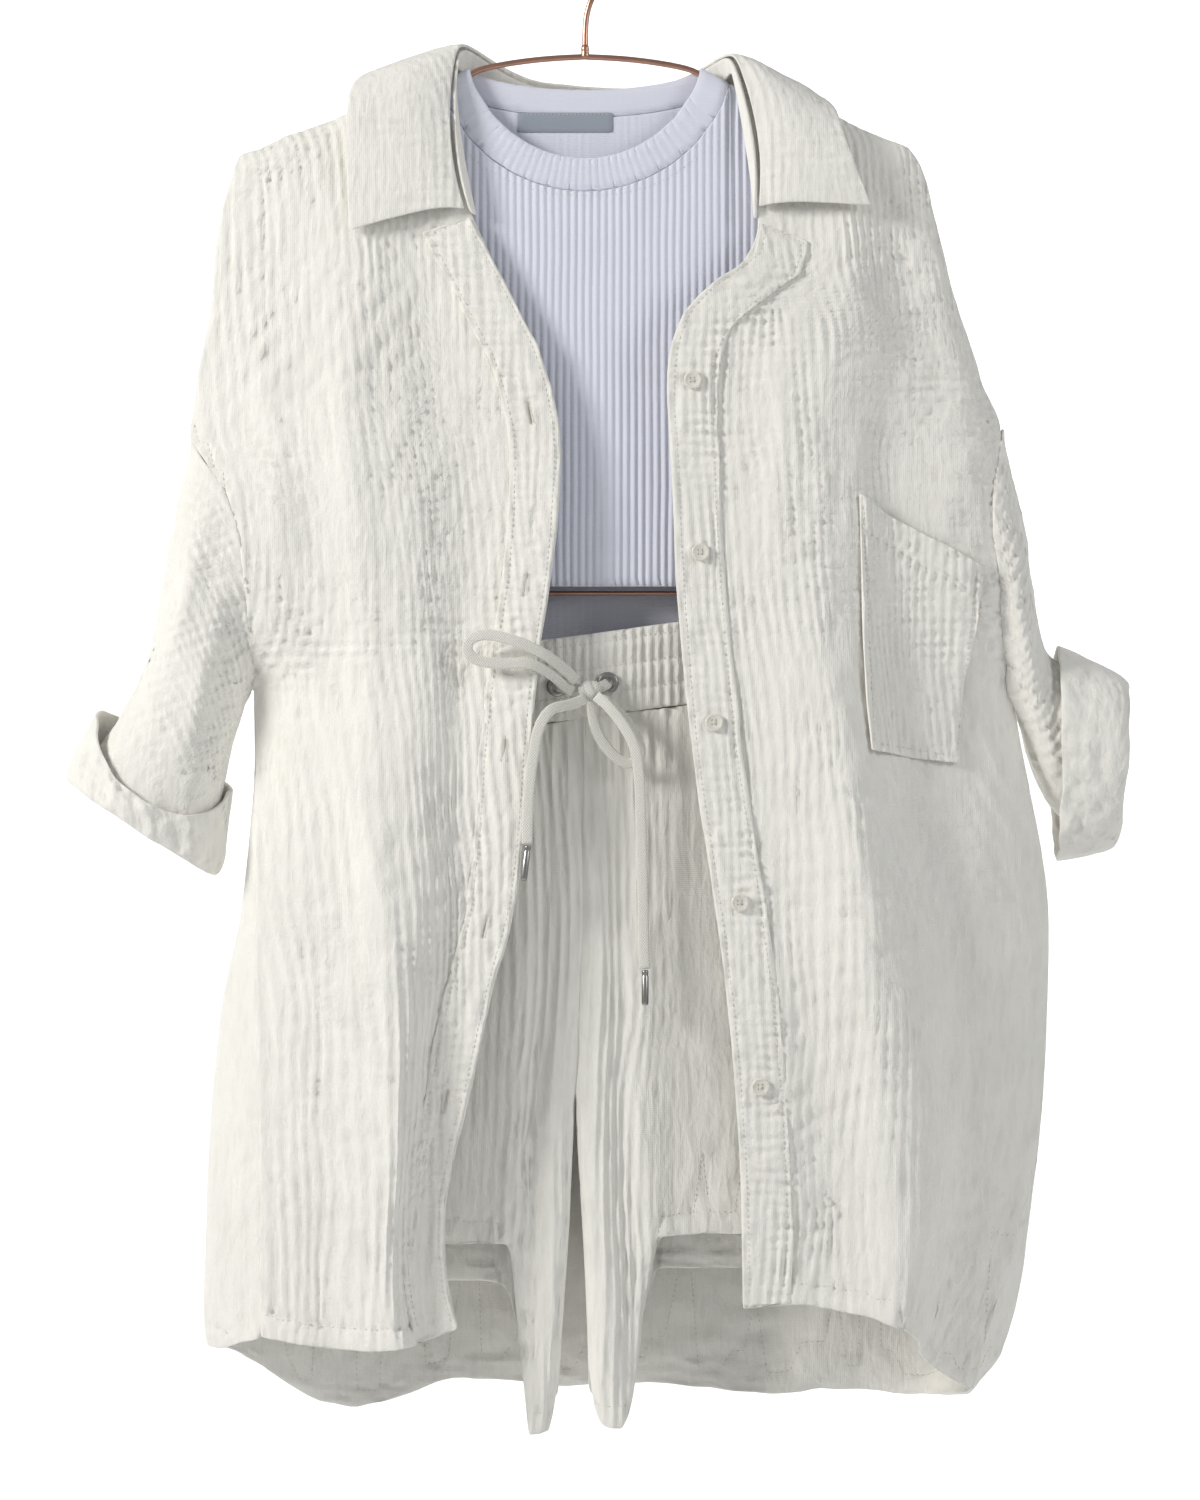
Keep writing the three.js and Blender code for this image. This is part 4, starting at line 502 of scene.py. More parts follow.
def patterned(tree, kind, scale, stretch=(1, 1, 1), turn=(0, 0, 0), **settings):
    """A procedural texture laid in the object's own space."""
    place = tree.nodes.new("ShaderNodeTexCoord")
    lay = tree.nodes.new("ShaderNodeMapping")
    lay.inputs["Rotation"].default_value = [math.radians(t) for t in turn]
    lay.inputs["Scale"].default_value = stretch
    texture = tree.nodes.new(kind)
    texture.inputs["Scale"].default_value = scale
    for key, value in settings.items():
        if key in texture.inputs:
            texture.inputs[key].default_value = value
        else:
            setattr(texture, key, value)
    tree.links.new(place.outputs["Object"], lay.inputs["Vector"])
    tree.links.new(lay.outputs["Vector"], texture.inputs["Vector"])
    return texture.outputs[0] if kind == NOISE else texture.outputs[-1]


def ramp(tree, value, low, high, start=0.0, end=1.0):
    """Turns a texture's value into a colour between two."""
    node = tree.nodes.new("ShaderNodeValToRGB")
    node.color_ramp.elements[0].position = start
    node.color_ramp.elements[1].position = end
    node.color_ramp.elements[0].color = (*low, 1)
    node.color_ramp.elements[1].color = (*high, 1)
    tree.links.new(value, node.inputs["Fac"])
    return node.outputs["Color"]


def raised(tree, shader, layers):
    """Stacks bumps on a shader: each layer is a height, its strength and its depth in millimetres."""
    normal = None
    for height, strength, depth in layers:
        bump = tree.nodes.new("ShaderNodeBump")
        bump.inputs["Strength"].default_value = strength
        bump.inputs["Distance"].default_value = depth * MM
        tree.links.new(height, bump.inputs["Height"])
        if normal is not None:
            tree.links.new(normal, bump.inputs["Normal"])
        normal = bump.outputs["Normal"]
    tree.links.new(normal, shader.inputs["Normal"])


def creased(tree, noise, sharp=1.0):
    """Folds a noise about its middle, so that it rises to thin ridges."""
    away = tree.nodes.new("ShaderNodeMath")
    away.operation = "SUBTRACT"
    away.inputs[1].default_value = 0.5
    tree.links.new(noise, away.inputs[0])
    size = tree.nodes.new("ShaderNodeMath")
    size.operation = "ABSOLUTE"
    tree.links.new(away.outputs[0], size.inputs[0])
    flip = tree.nodes.new("ShaderNodeMath")
    flip.operation = "MULTIPLY_ADD"
    flip.inputs[1].default_value = -2.4 * sharp
    flip.inputs[2].default_value = 1.0
    tree.links.new(size.outputs[0], flip.inputs[0])
    return flip.outputs[0]


def mixed(tree, first, second, share, mode="MULTIPLY"):
    """Blends two colours."""
    node = tree.nodes.new("ShaderNodeMix")
    node.data_type = "RGBA"
    node.blend_type = mode
    node.inputs["Factor"].default_value = share
    tree.links.new(first, node.inputs["A"])
    tree.links.new(second, node.inputs["B"])
    return node.outputs["Result"]


def shade(colour, share):
    """A colour made darker or lighter."""
    return tuple(c * share for c in colour[:3])


def greys(tree, value, low, high):
    """Turns a texture's value into a plain amount between two."""
    return ramp(tree, value, (low,) * 3, (high,) * 3)


def surfaced(tree, shader, colour, rough, settings):
    """Joins a colour and a roughness to the shader, and sets its other sockets."""
    tree.links.new(colour, shader.inputs["Base Color"])
    tree.links.new(rough, shader.inputs["Roughness"])
    for socket, value in settings.items():
        shader.inputs[socket].default_value = value


def gauze_finish(name, colour, slant=0.0, crinkle=1.0, cross=0.35):
    """Double gauze: fine crimps along the cloth, with painted shade in their valleys, crossing puckers and
    an open weave.
    """
    material, tree, shader = new_material(name)
    turn = (0, slant, 0)
    crimps = patterned(tree, NOISE, 165, (1, 1, 0.26), turn, Detail=1.5, Roughness=0.5)
    puckers = patterned(tree, NOISE, 330, (1, 1, 0.8), turn, Detail=2.0, Roughness=0.6)
    warp = patterned(tree, WAVE, 260, turn=turn, Distortion=1.2, bands_direction="X")
    weft = patterned(tree, WAVE, 260, turn=turn, Distortion=1.2, bands_direction="Z")
    patches = patterned(tree, NOISE, 22, Detail=3.0)
    folds = creased(tree, crimps)
    base = ramp(tree, patches, shade(colour, 0.96), shade(colour, 1.0), 0.3, 0.7)
    # painted shade: lines darkens the colour in the valleys of the crimps that the bump below raises, and
    # woven carries it on to the shader
    lines = ramp(tree, folds, (0.93, 0.925, 0.915), (1, 1, 1), 0.35, 0.9)
    weave = ramp(tree, warp, (0.97, 0.968, 0.96), (1, 1, 1))
    woven = mixed(tree, mixed(tree, base, lines, 0.8), weave, 0.7)
    surfaced(tree, shader, woven, greys(tree, puckers, 0.86, 0.98),
             {"Specular IOR Level": 0.25, "Sheen Weight": 0.12, "Sheen Roughness": 0.5})
    raised(tree, shader, (
        (warp, 0.3, 0.15), (weft, 0.3, 0.15), (puckers, cross, 1.0), (folds, 0.45 * crinkle, 1.2),
    ))
    return material


def knit_finish(name, colour):
    """Rib knit: small loops in columns on the ribs, a little fuzz, and cool white cotton."""
    material, tree, shader = new_material(name)
    loops = patterned(tree, WAVE, 300, (1, 1, 1), bands_direction="Z", Distortion=2.0)
    wales = patterned(tree, WAVE, 440, (1, 1, 1), bands_direction="X", Distortion=0.6)
    fuzz = patterned(tree, NOISE, 900, Detail=2.0)
    patches = patterned(tree, NOISE, 30, Detail=2.0)
    base = ramp(tree, patches, shade(colour, 0.965), shade(colour, 1.0), 0.3, 0.7)
    lines = ramp(tree, loops, (0.95, 0.95, 0.955), (1, 1, 1))
    surfaced(tree, shader, mixed(tree, base, lines, 0.7), greys(tree, fuzz, 0.82, 0.96),
             {"Specular IOR Level": 0.25, "Sheen Weight": 0.2, "Sheen Roughness": 0.45})
    raised(tree, shader, ((fuzz, 0.2, 0.2), (wales, 0.3, 0.25), (loops, 0.3, 0.3)))
    return material


def label_finish(name, colour):
    """Woven satin: close diagonal threads with a soft shine."""
    material, tree, shader = new_material(name)
    twill = patterned(tree, WAVE, 700, turn=(0, 45, 0), Distortion=0.3, bands_direction="X")
    specks = patterned(tree, NOISE, 1200, Detail=1.0)
    threads = ramp(tree, twill, shade(colour, 0.86), shade(colour, 1.08))
    surfaced(tree, shader, threads, greys(tree, specks, 0.48, 0.66), {"Sheen Weight": 0.1})
    raised(tree, shader, ((twill, 0.3, 0.12), (specks, 0.1, 0.08)))
    return material


def cord_finish(name, colour):
    """Flat braid: crossing strands along the tape."""
    material, tree, shader = new_material(name)
    left = patterned(tree, WAVE, 260, turn=(0, 38, 0), Distortion=0.5, bands_direction="X")
    right = patterned(tree, WAVE, 260, turn=(0, -38, 0), Distortion=0.5, bands_direction="X")
    fuzz = patterned(tree, NOISE, 700, Detail=2.0)
    first = ramp(tree, left, shade(colour, 0.86), shade(colour, 1.0))
    second = ramp(tree, right, (0.9, 0.895, 0.88), (1, 1, 1))
    surfaced(tree, shader, mixed(tree, first, second, 0.8), greys(tree, fuzz, 0.8, 0.95),
             {"Specular IOR Level": 0.3})
    raised(tree, shader, ((fuzz, 0.15, 0.2), (left, 0.5, 0.35), (right, 0.5, 0.35)))
    return material


def metal_finish(name, colour, rough):
    """Plated wire or stamped metal: faint drawing marks and handling wear."""
    material, tree, shader = new_material(name)
    marks = patterned(tree, NOISE, 900, (1, 1, 0.15), Detail=3.0)
    wear = patterned(tree, NOISE, 60, Detail=4.0)
    worn = ramp(tree, wear, shade(colour, 0.88), shade(colour, 1.0), 0.35, 0.6)
    surfaced(tree, shader, worn, greys(tree, marks, rough * 0.8, rough * 1.4), {"Metallic": 1.0})
    raised(tree, shader, ((marks, 0.12, 0.05), (wear, 0.05, 0.1)))
    return material


def button_finish(name, colour):
    """Polished pearly buttons: soft clouds and thin growth lines under a clear shine."""
    material, tree, shader = new_material(name)
    clouds = patterned(tree, NOISE, 260, Detail=4.0, Distortion=1.5)
    rings = patterned(tree, WAVE, 160, Distortion=6.0, bands_direction="X")
    base = ramp(tree, clouds, shade(colour, 0.88), shade(colour, 1.02), 0.3, 0.7)
    lines = ramp(tree, rings, (0.95, 0.945, 0.93), (1, 1, 1))
    surfaced(tree, shader, mixed(tree, base, lines, 0.7), greys(tree, clouds, 0.24, 0.4),
             {"Coat Weight": 0.3, "Coat Roughness": 0.15})
    raised(tree, shader, ((rings, 0.06, 0.05),))
    return material


def thread_finish(name, colour):
    """Twisted sewing thread."""
    material, tree, shader = new_material(name)
    twist = patterned(tree, WAVE, 900, turn=(0, 30, 0), bands_direction="X")
    surfaced(tree, shader, ramp(tree, twist, shade(colour, 0.8), shade(colour, 1.0)),
             greys(tree, twist, 0.5, 0.7), {})
    raised(tree, shader, ((twist, 0.3, 0.1),))
    return material


def plain_surface(name, colour):
    """Matt painted board for the floor and the wall behind."""
    material, tree, shader = new_material(name)
    grain = patterned(tree, NOISE, 40, Detail=3.0)
    tree.links.new(ramp(tree, grain, shade(colour, 0.99), shade(colour, 1.0)), shader.inputs["Base Color"])
    shader.inputs["Roughness"].default_value = 0.95
    shader.inputs["Specular IOR Level"].default_value = 0.1
    return material


MATERIALS = {}


def finish_of(key):
    """Each finish is made once, from the panel's colours."""
    if key in MATERIALS:
        return MATERIALS[key]
    cloth = bpy.context.scene.lounge_cloth
    trim = bpy.context.scene.lounge_trim
    makers = {
        "gauze": lambda: gauze_finish("Ivory double gauze", cloth.gauze_colour),
        "gauze_left_sleeve": lambda: gauze_finish("Ivory gauze left sleeve", cloth.gauze_colour, 24.0),
        "gauze_right_sleeve": lambda: gauze_finish("Ivory gauze right sleeve", cloth.gauze_colour, -30.0),
        "gauze_shorts": lambda: gauze_finish("Ivory gauze shorts", cloth.gauze_colour, 0.0, 0.9),
        "gauze_band": lambda: gauze_finish("Ivory gauze band", cloth.gauze_colour, 0.0, 0.6, 0.5),
        "knit": lambda: knit_finish("Cool white rib", cloth.knit_colour),
        "label": lambda: label_finish("Slate woven label", cloth.label_colour),
        "cord": lambda: cord_finish("Ivory flat braid", trim.cord_colour),
        "thread": lambda: thread_finish("Ivory thread", trim.thread_colour),
        "wire": lambda: metal_finish("Rose plated wire", trim.wire_colour, 0.3),
        "steel": lambda: metal_finish("Brushed steel", trim.steel_colour, 0.28),
        "button": lambda: button_finish("Pearly button", trim.button_colour),
    }
    MATERIALS[key] = makers[key]()
    return MATERIALS[key]


# ---------- cords and small parts ----------


def smooth_route(points, steps):
    """An even curve through the points, as Catmull-Rom spans."""
    points = [np.array(p, dtype=float) for p in points]
    ends = [2 * points[0] - points[1], *points, 2 * points[-1] - points[-2]]
    fine = []
    for a, b, c, d in zip(ends, ends[1:], ends[2:], ends[3:]):
        for t in np.linspace(0, 1, 12, endpoint=False):
            fine.append(0.5 * (2 * b + (c - a) * t + (2 * a - 5 * b + 4 * c - d) * t**2
                               + (3 * b - 3 * c + d - a) * t**3))
    fine.append(points[-1])
    fine = np.array(fine)
    walked = np.concatenate(([0], np.cumsum(np.linalg.norm(np.diff(fine, axis=0), axis=1))))
    even = np.linspace(0, walked[-1], steps + 1)
    return np.stack([np.interp(even, walked, fine[:, k]) for k in range(3)], axis=1), float(walked[-1])


def flat_cord(name, points, width, thick, steps, material):
    """A flat woven tape along a route, its face to the front, with rounded edges."""
    route, length = smooth_route(points, steps)
    section = []
    for turn in np.linspace(0, 2 * math.pi, 14, endpoint=False):
        c, s = math.cos(turn), math.sin(turn)
        section.append((math.copysign(abs(c) ** 0.55, c) * width / 2,
                        math.copysign(abs(s) ** 0.8, s) * thick / 2))
    corners, faces = [], []
    aside = None
    for i, place in enumerate(route):
        way = unit(route[min(i + 1, steps)] - route[max(i - 1, 0)])
        level = np.cross(way, (0, -1, 0))
        if np.linalg.norm(level) < 0.25 and aside is not None:
            level = aside - way * (aside @ way)
        level = unit(level)
        if aside is not None and level @ aside < 0:
            level = -level
        aside = level if aside is None else level * 0.6 + aside * 0.4
        aside = unit(aside - way * (aside @ way))
        out = np.cross(way, aside)
        for w, t in section:
            corners.append(place + aside * w + out * t)
    ring = len(section)
    for i in range(steps):
        for j in range(ring):
            a, b = i * ring + j, i * ring + (j + 1) % ring
            faces.append((a, b, b + ring, a + ring))
    faces.append(tuple(range(ring - 1, -1, -1)))
    faces.append(tuple(steps * ring + j for j in range(ring)))
    piece = mesh_piece(name, corners, faces, material)
    return piece, [tuple(c * MM for c in p) for p in route], length * MM


def turned(name, profile, centre, axis, material, slot, sides=40, closed=False):
    """A part turned on a lathe: (radius, height) corners about an axis through a centre."""
    axis = unit(np.array(axis, dtype=float))
    first = unit(np.cross(axis, (0, 0, 1.0) if abs(axis[2]) < 0.9 else (1.0, 0, 0)))
    second = np.cross(axis, first)
    corners, faces = [], []
    for radius, height in profile:
        for turn in np.linspace(0, 2 * math.pi, sides, endpoint=False):
            spoke = first * math.cos(turn) + second * math.sin(turn)
            corners.append(np.array(centre) + spoke * radius + axis * height)
    rows = len(profile)
    for i in range(rows if closed else rows - 1):
        for j in range(sides):
            a, b = i * sides + j, i * sides + (j + 1) % sides
            c, d = ((i + 1) % rows) * sides + (j + 1) % sides, ((i + 1) % rows) * sides + j
            faces.append((a, b, c, d))
    return mesh_piece(name, corners, faces, material)


def lie_of(node):
    """A small flat node's middle in millimetres and the way its face looks, towards the front."""
    places = places_of(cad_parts[node].data)
    middle = (places.min(axis=0) + places.max(axis=0)) / 2
    away = places - places.mean(axis=0)
    face = np.linalg.svd(away, full_matrices=False)[2][2]
    return middle, face if face[1] < 0 else -face


def laid_forward(piece, height, pitch=SHIRT_PITCH, calm=(), seams=(), folds=(), fuller=(), slant=0.0,
                 seed=SHIRT_SEED, side_share=0.6):
    """Crinkles a cloth piece: its whole wall moves forward and sideways by the same field, so it
    keeps its thickness. Near a calm line the crinkle falls to a share and puckers cross it. Seams pull
    grooves in it, folds stand out of it, and near a fuller line it is thicker."""
    places = places_of(piece.data)
    field = gauze_crinkle(places, pitch, slant, seed)
    gathers = puckered(places, 6.0, seed + 30)
    share = np.ones(len(places))
    crossing = np.zeros(len(places))
    for line, reach, keep, cross in calm:
        near = np.clip(1 - gap_from(places, line) / reach, 0, 1)
        near = near * near * (3 - 2 * near)
        share = np.minimum(share, 1 - (1 - keep) * near)
        crossing = np.maximum(crossing, cross * near)
    forward = height * (share * field + crossing * gathers)
    for line, depth, width, pitch_of in seams:
        forward += sewn_groove(places, line, depth, width, pitch_of)
    for line, out, width in folds:
        forward += drag_fold(places, line, out, width)
    for line, reach, full in fuller:
        forward += full * np.clip((reach - gap_from(places, line)) / 1.5, 0, 1)
    shift = np.zeros_like(places)
    shift[:, 0] = side_share * height * rumple(slanted(places, slant), (9, 9, 40), seed + 50)
    shift[:, 1] = -forward
    shift[:, 2] = 0.5 * height * rumple(places, (13, 13, 13), seed + 60)
    move_by(piece, shift)


# ---------- what a user may change ----------


def light_of(code):
    """A screen colour code as the light it stands for."""
    parts = [int(code[k : k + 2], 16) / 255 for k in (0, 2, 4)]
    return tuple(c / 12.92 if c <= 0.04045 else ((c + 0.055) / 1.055) ** 2.4 for c in parts)


class LoungeCloth(bpy.types.PropertyGroup):
    """The cloths of the set"""

    gauze_colour: bpy.props.FloatVectorProperty(
        name="Gauze", description="Colour of the shirt's and shorts' gauze", subtype="COLOR",
        size=3, min=0, max=1, default=light_of("f3f1ea"))
    knit_colour: bpy.props.FloatVectorProperty(
        name="Knit", description="Colour of the ribbed top", subtype="COLOR",
        size=3, min=0, max=1, default=light_of("e4e6f2"))
    label_colour: bpy.props.FloatVectorProperty(
        name="Label", description="Colour of the blank neck label", subtype="COLOR",
        size=3, min=0, max=1, default=light_of("9aa1ac"))
    crinkle: bpy.props.FloatProperty(
        name="Crinkle", description="Height of the gauze's crinkles", subtype="DISTANCE", unit="LENGTH",
        min=0, max=0.004, default=0.0019)
    rib_rise: bpy.props.FloatProperty(
        name="Rib unevenness", description="How far the top's ribs wander out of line",
        subtype="DISTANCE", unit="LENGTH", min=0, max=0.002, default=0.0005)


class LoungeTrim(bpy.types.PropertyGroup):
    """The set's buttons, drawstring and hanger"""

    cord_colour: bpy.props.FloatVectorProperty(
        name="Drawstring", description="Colour of the flat drawstring", subtype="COLOR",
        size=3, min=0, max=1, default=light_of("f0eee6"))
    thread_colour: bpy.props.FloatVectorProperty(
        name="Thread", description="Colour of the stitching", subtype="COLOR",
        size=3, min=0, max=1, default=light_of("f1eee4"))
    button_colour: bpy.props.FloatVectorProperty(
        name="Buttons", description="Colour of the pearly buttons", subtype="COLOR",
        size=3, min=0, max=1, default=light_of("e9e6dc"))
    wire_colour: bpy.props.FloatVectorProperty(
        name="Wire", description="Colour of the hanger's plated wire", subtype="COLOR",
        size=3, min=0, max=1, default=light_of("c79a86"))
    steel_colour: bpy.props.FloatVectorProperty(
        name="Steel", description="Colour of the eyelets and cord ends", subtype="COLOR",
        size=3, min=0, max=1, default=light_of("a9a8a6"))
    cord_width: bpy.props.FloatProperty(
        name="Drawstring width", description="Width of the flat drawstring", subtype="DISTANCE",
        unit="LENGTH", min=0.004, max=0.009, default=0.0065)
    cord_thickness: bpy.props.FloatProperty(
        name="Drawstring thickness", description="Thickness of the flat drawstring", subtype="DISTANCE",
        unit="LENGTH", min=0.001, max=0.003, default=0.0018)


class LoungeStudio(bpy.types.PropertyGroup):
    """The camera's place and the studio's light"""

    distance: bpy.props.FloatProperty(
        name="Camera distance", description="From the camera to the clothes", subtype="DISTANCE",
        unit="LENGTH", min=1, max=8, default=3.0)
    framed_height: bpy.props.FloatProperty(
        name="Framed height", description="Height of the picture at the clothes", subtype="DISTANCE",
        unit="LENGTH", min=0.5, max=3, default=0.9)
    key_power: bpy.props.FloatProperty(
        name="Key light", description="Power of the large light from the upper left, in watts",
        min=0, max=500, default=60)
    fill_power: bpy.props.FloatProperty(
        name="Fill light", description="Power of the light from the right, in watts",
        min=0, max=500, default=18)
    wall_power: bpy.props.FloatProperty(
        name="Wall lights", description="Power of each light on the wall behind, in watts",
        min=0, max=500, default=105)


# ---------- the pieces ----------


class LOUNGE_OT_stage(bpy.types.Operator):
    """Sets the camera, the soft lights and the pale surroundings"""

    bl_idname = "lounge.stage"
    bl_label = "Camera and Studio"

    def execute(self, context):
        studio = context.scene.lounge_studio
        middle = Vector((0.009, -0.03, -0.506))
        data = bpy.data.cameras.new("Camera")
        data.sensor_width = 36
        data.lens = 36 * studio.distance / studio.framed_height
        data.clip_end = 30
        camera = bpy.data.objects.new("Camera", data)
        camera.location = middle + Vector((0, -studio.distance, 0))
        camera.rotation_euler = (math.radians(90), 0, 0)
        context.scene.collection.objects.link(camera)
        context.scene.camera = camera
        for name, power, size, at in (
            ("Key", studio.key_power, 0.9, (-2.3, -1.35, 0.7)),
            ("Fill", studio.fill_power, 1.2, (2.3, -1.5, 0.5)),
            ("Wall_left", studio.wall_power, 1.2, (-2.4, 3.3, 1.8)),
            ("Wall_right", studio.wall_power, 1.2, (2.4, 3.3, 1.8)),
        ):
            lamp = bpy.data.lights.new(name, "AREA")
            lamp.energy = power
            lamp.shape = "DISK"
            lamp.size = size
            lamp.color = (1.0, 0.985, 0.965) if name == "Key" else (0.965, 0.98, 1.0)
            light = bpy.data.objects.new(name, lamp)
            light.location = at
            aim = Vector((at[0] * 0.2, 5.6, -0.5)) if name.startswith("Wall") else middle
            light.rotation_euler = (aim - Vector(at)).to_track_quat("-Z", "Y").to_euler()
            light.visible_camera = False
            context.scene.collection.objects.link(light)
        world = bpy.data.worlds.new("Studio")
        world.use_nodes = True
        world.node_tree.nodes["Background"].inputs["Color"].default_value = (0.97, 0.985, 1.0, 1)
        world.node_tree.nodes["Background"].inputs["Strength"].default_value = 0.33
        context.scene.world = world
        context.scene.view_settings.view_transform = "Standard"
        pale = plain_surface("Pale board", light_of("fbfbfb"))
        floor, wall, bend, reach = -1.95, 5.7, 0.5, 7.0
        corners = [(-reach, -7, floor), (reach, -7, floor)]
        corners += [(reach, wall - bend, floor), (-reach, wall - bend, floor)]
        for step in range(1, 13):
            turn = step / 12 * math.pi / 2
            y, z = wall - bend + bend * math.sin(turn), floor + bend * (1 - math.cos(turn))
            corners += [(reach, y, z), (-reach, y, z)]
        corners += [(reach, wall, 5.0), (-reach, wall, 5.0)]
        faces = [(0, 1, 2, 3), (3, 2, 4, 5)]
        faces += [(k + 1, k, k + 2, k + 3) for k in range(4, len(corners) - 2, 2)]
        mesh = bpy.data.meshes.new("Studio_sweep")
        mesh.from_pydata(corners, [], faces)
        mesh.materials.append(pale)
        mesh.shade_smooth()
        sweep = bpy.data.objects.new("Studio_sweep", mesh)
        context.scene.collection.objects.link(sweep)
        return {"FINISHED"}


class LOUNGE_OT_drawstring(bpy.types.Operator):
    """Lays the flat drawstring: two short ends from the eyelets, a knot, two loops and two tails"""

    bl_idname = "lounge.drawstring"
    bl_label = "Drawstring"

    def execute(self, context):
        trim = context.scene.lounge_trim
        width, thick = trim.cord_width / MM, trim.cord_thickness / MM
        braid, steel = finish_of("cord"), finish_of("steel")
        runs = {}
        for run, steps in (("left_lead", 10), ("right_lead", 10), ("left_loop", 90), ("right_loop", 60),
                           ("left_tail", 70), ("right_tail", 90)):
            piece, path, length = flat_cord("cord_" + run, CORD_ROUTES[run], width, thick, steps, braid)
            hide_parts("drawstring_" + run)
            runs[run] = (piece, path, length)
        knot = mesh_copy("drawstring_knot", "cord_knot", 3, 180)
        places = places_of(knot.data)
        middle = places.mean(axis=0)
        away = places - middle
        spread = np.linalg.norm(away, axis=1)
        wrap = away[:, 0] * 0.82 + away[:, 2] * 0.35
        swell = 0.55 * np.cos(wrap * 2 * math.pi / 6.2) - 0.35 * np.exp(-((np.abs(wrap) - 3.0) / 0.5) ** 2)
        move_by(knot, away / np.maximum(spread, 0.1)[:, None] * np.minimum(swell, 0.2)[:, None])
        settle(knot, "drawstring_knot", braid)
        aglets = {}
        for side in ("left", "right"):
            node = "aglet_" + side
            places = places_of(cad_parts[node].data)
            head = places[places[:, 2] > places[:, 2].max() - 2].mean(axis=0)
            foot = places[places[:, 2] < places[:, 2].min() + 2].mean(axis=0)
            way = foot - head
            length = float(np.linalg.norm(way))
            profile = [(0.02, -0.2), (1.5, -0.2), (2.0, 0.1), (2.15, 0.8), (2.1, 2.2), (1.85, 2.7),
                       (1.85, 3.2), (2.1, 3.7), (2.1, length - 3), (2.05, length - 1.4),
                       (1.7, length - 0.4), (1.0, length), (0.02, length)]
            tip = turned("cord_tip_" + side, profile, head, way, steel, "steel", 28)
            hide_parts(node)
            aglets[side] = tip
        for run, far_end, ends in (
            ("left_loop", "object", [knot, runs["left_lead"][0]]),
            ("right_loop", "object", [runs["right_lead"][0]]),
            ("left_tail", "fitting", [aglets["left"]]),
            ("right_tail", "fitting", [aglets["right"]]),
        ):
            piece, path, length = runs[run]
        return {"FINISHED"}


class LOUNGE_OT_hanger(bpy.types.Operator):
    """Finishes the hanger's hook, arms, drop wires, bar and clips"""

    bl_idname = "lounge.hanger"
    bl_label = "Hanger"

    def execute(self, context):
        wire, steel = finish_of("wire"), finish_of("steel")
        for node in ("hanger_hook", "hanger_arm_left", "hanger_arm_right", "hanger_drop_left",
                     "hanger_drop_right", "hanger_bar"):
            piece = mesh_copy(node, node.replace("hanger", "wire"), 2, 60, thin=60)
            settle(piece, node, wire)
        bead = [(0.02, 5), (1.7, 5), (2.3, 4.2), (2.5, 2), (2.3, 1.2), (2.3, 0.4), (2.6, -0.4), (2.6, -2.2),
                (2.2, -3.4), (1.2, -4), (0.02, -4)]
        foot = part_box("hanger_hook")[0][2] / MM
        turned("wire_joint", bead, (0.0, 0.0, foot), (0, 0, 1), wire, "wire", 32)
        for side in ("left", "right"):
            node = "clip_" + side
            piece = mesh_copy(node, "sprung_clip_" + side, 2, 30, thin=60)
            settle(piece, node, steel)
        return {"FINISHED"}


class LOUNGE_OT_top(bpy.types.Operator):
    """Dresses the ribbed top, its neckband and its blank label"""

    bl_idname = "lounge.top"
    bl_label = "Ribbed Top"

    def execute(self, context):
        knit = finish_of("knit")
        wander = context.scene.lounge_cloth.rib_rise / MM
        made = {}
        for node, seed in (("top_front", 3), ("top_back", 9)):
            piece = mesh_copy(node, node.replace("top", "rib"), 3, swell=0.4)
            places = places_of(piece.data)
            shift = np.zeros_like(places)
            shift[:, 0] = wander * rumple(places, (26, 26, 34), seed)
            shift[:, 1] = 0.25 * wander * rumple(places, (14, 14, 20), seed + 1)
            crest = 0.5 + 0.5 * np.cos(2 * math.pi * (places[:, 0] + 175.7) / RIB_PITCH)
            shift[:, 1] -= 0.5 * crest**0.6
            for lift in (9.0, 11.5):
                shift[:, 1] += -0.3 * sewn_groove(places, hem_line(node, lift), 0.7, 0.8, 4.6)
            move_by(piece, shift)
            settle(piece, node, knit)
            made[node] = piece
        band = mesh_copy("top_neckband", "rib_neckband", 2, swell=0.6)
        settle(band, "top_neckband", knit)
        label = mesh_copy("top_label", "neck_label", 2, 40, thin=20)
        settle(label, "top_label", finish_of("label"))
        low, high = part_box("top_label")
        left, right, top = low[0] / MM + 1.2, high[0] / MM - 1.2, high[2] / MM - 1.0
        thread = finish_of("thread")
        label_row = stitch_row("label_stitches", [[(left, top), (right, top)]], label, thread, 2.4, 1.6)
        seam = [corner for corner in hem_line("top_neckband", -3.0) if abs(corner[0]) < 74]
        rows = stitch_row("neck_stitches", [seam], made["top_front"], thread, 3.0, 2.0, 0.4)
        return {"FINISHED"}


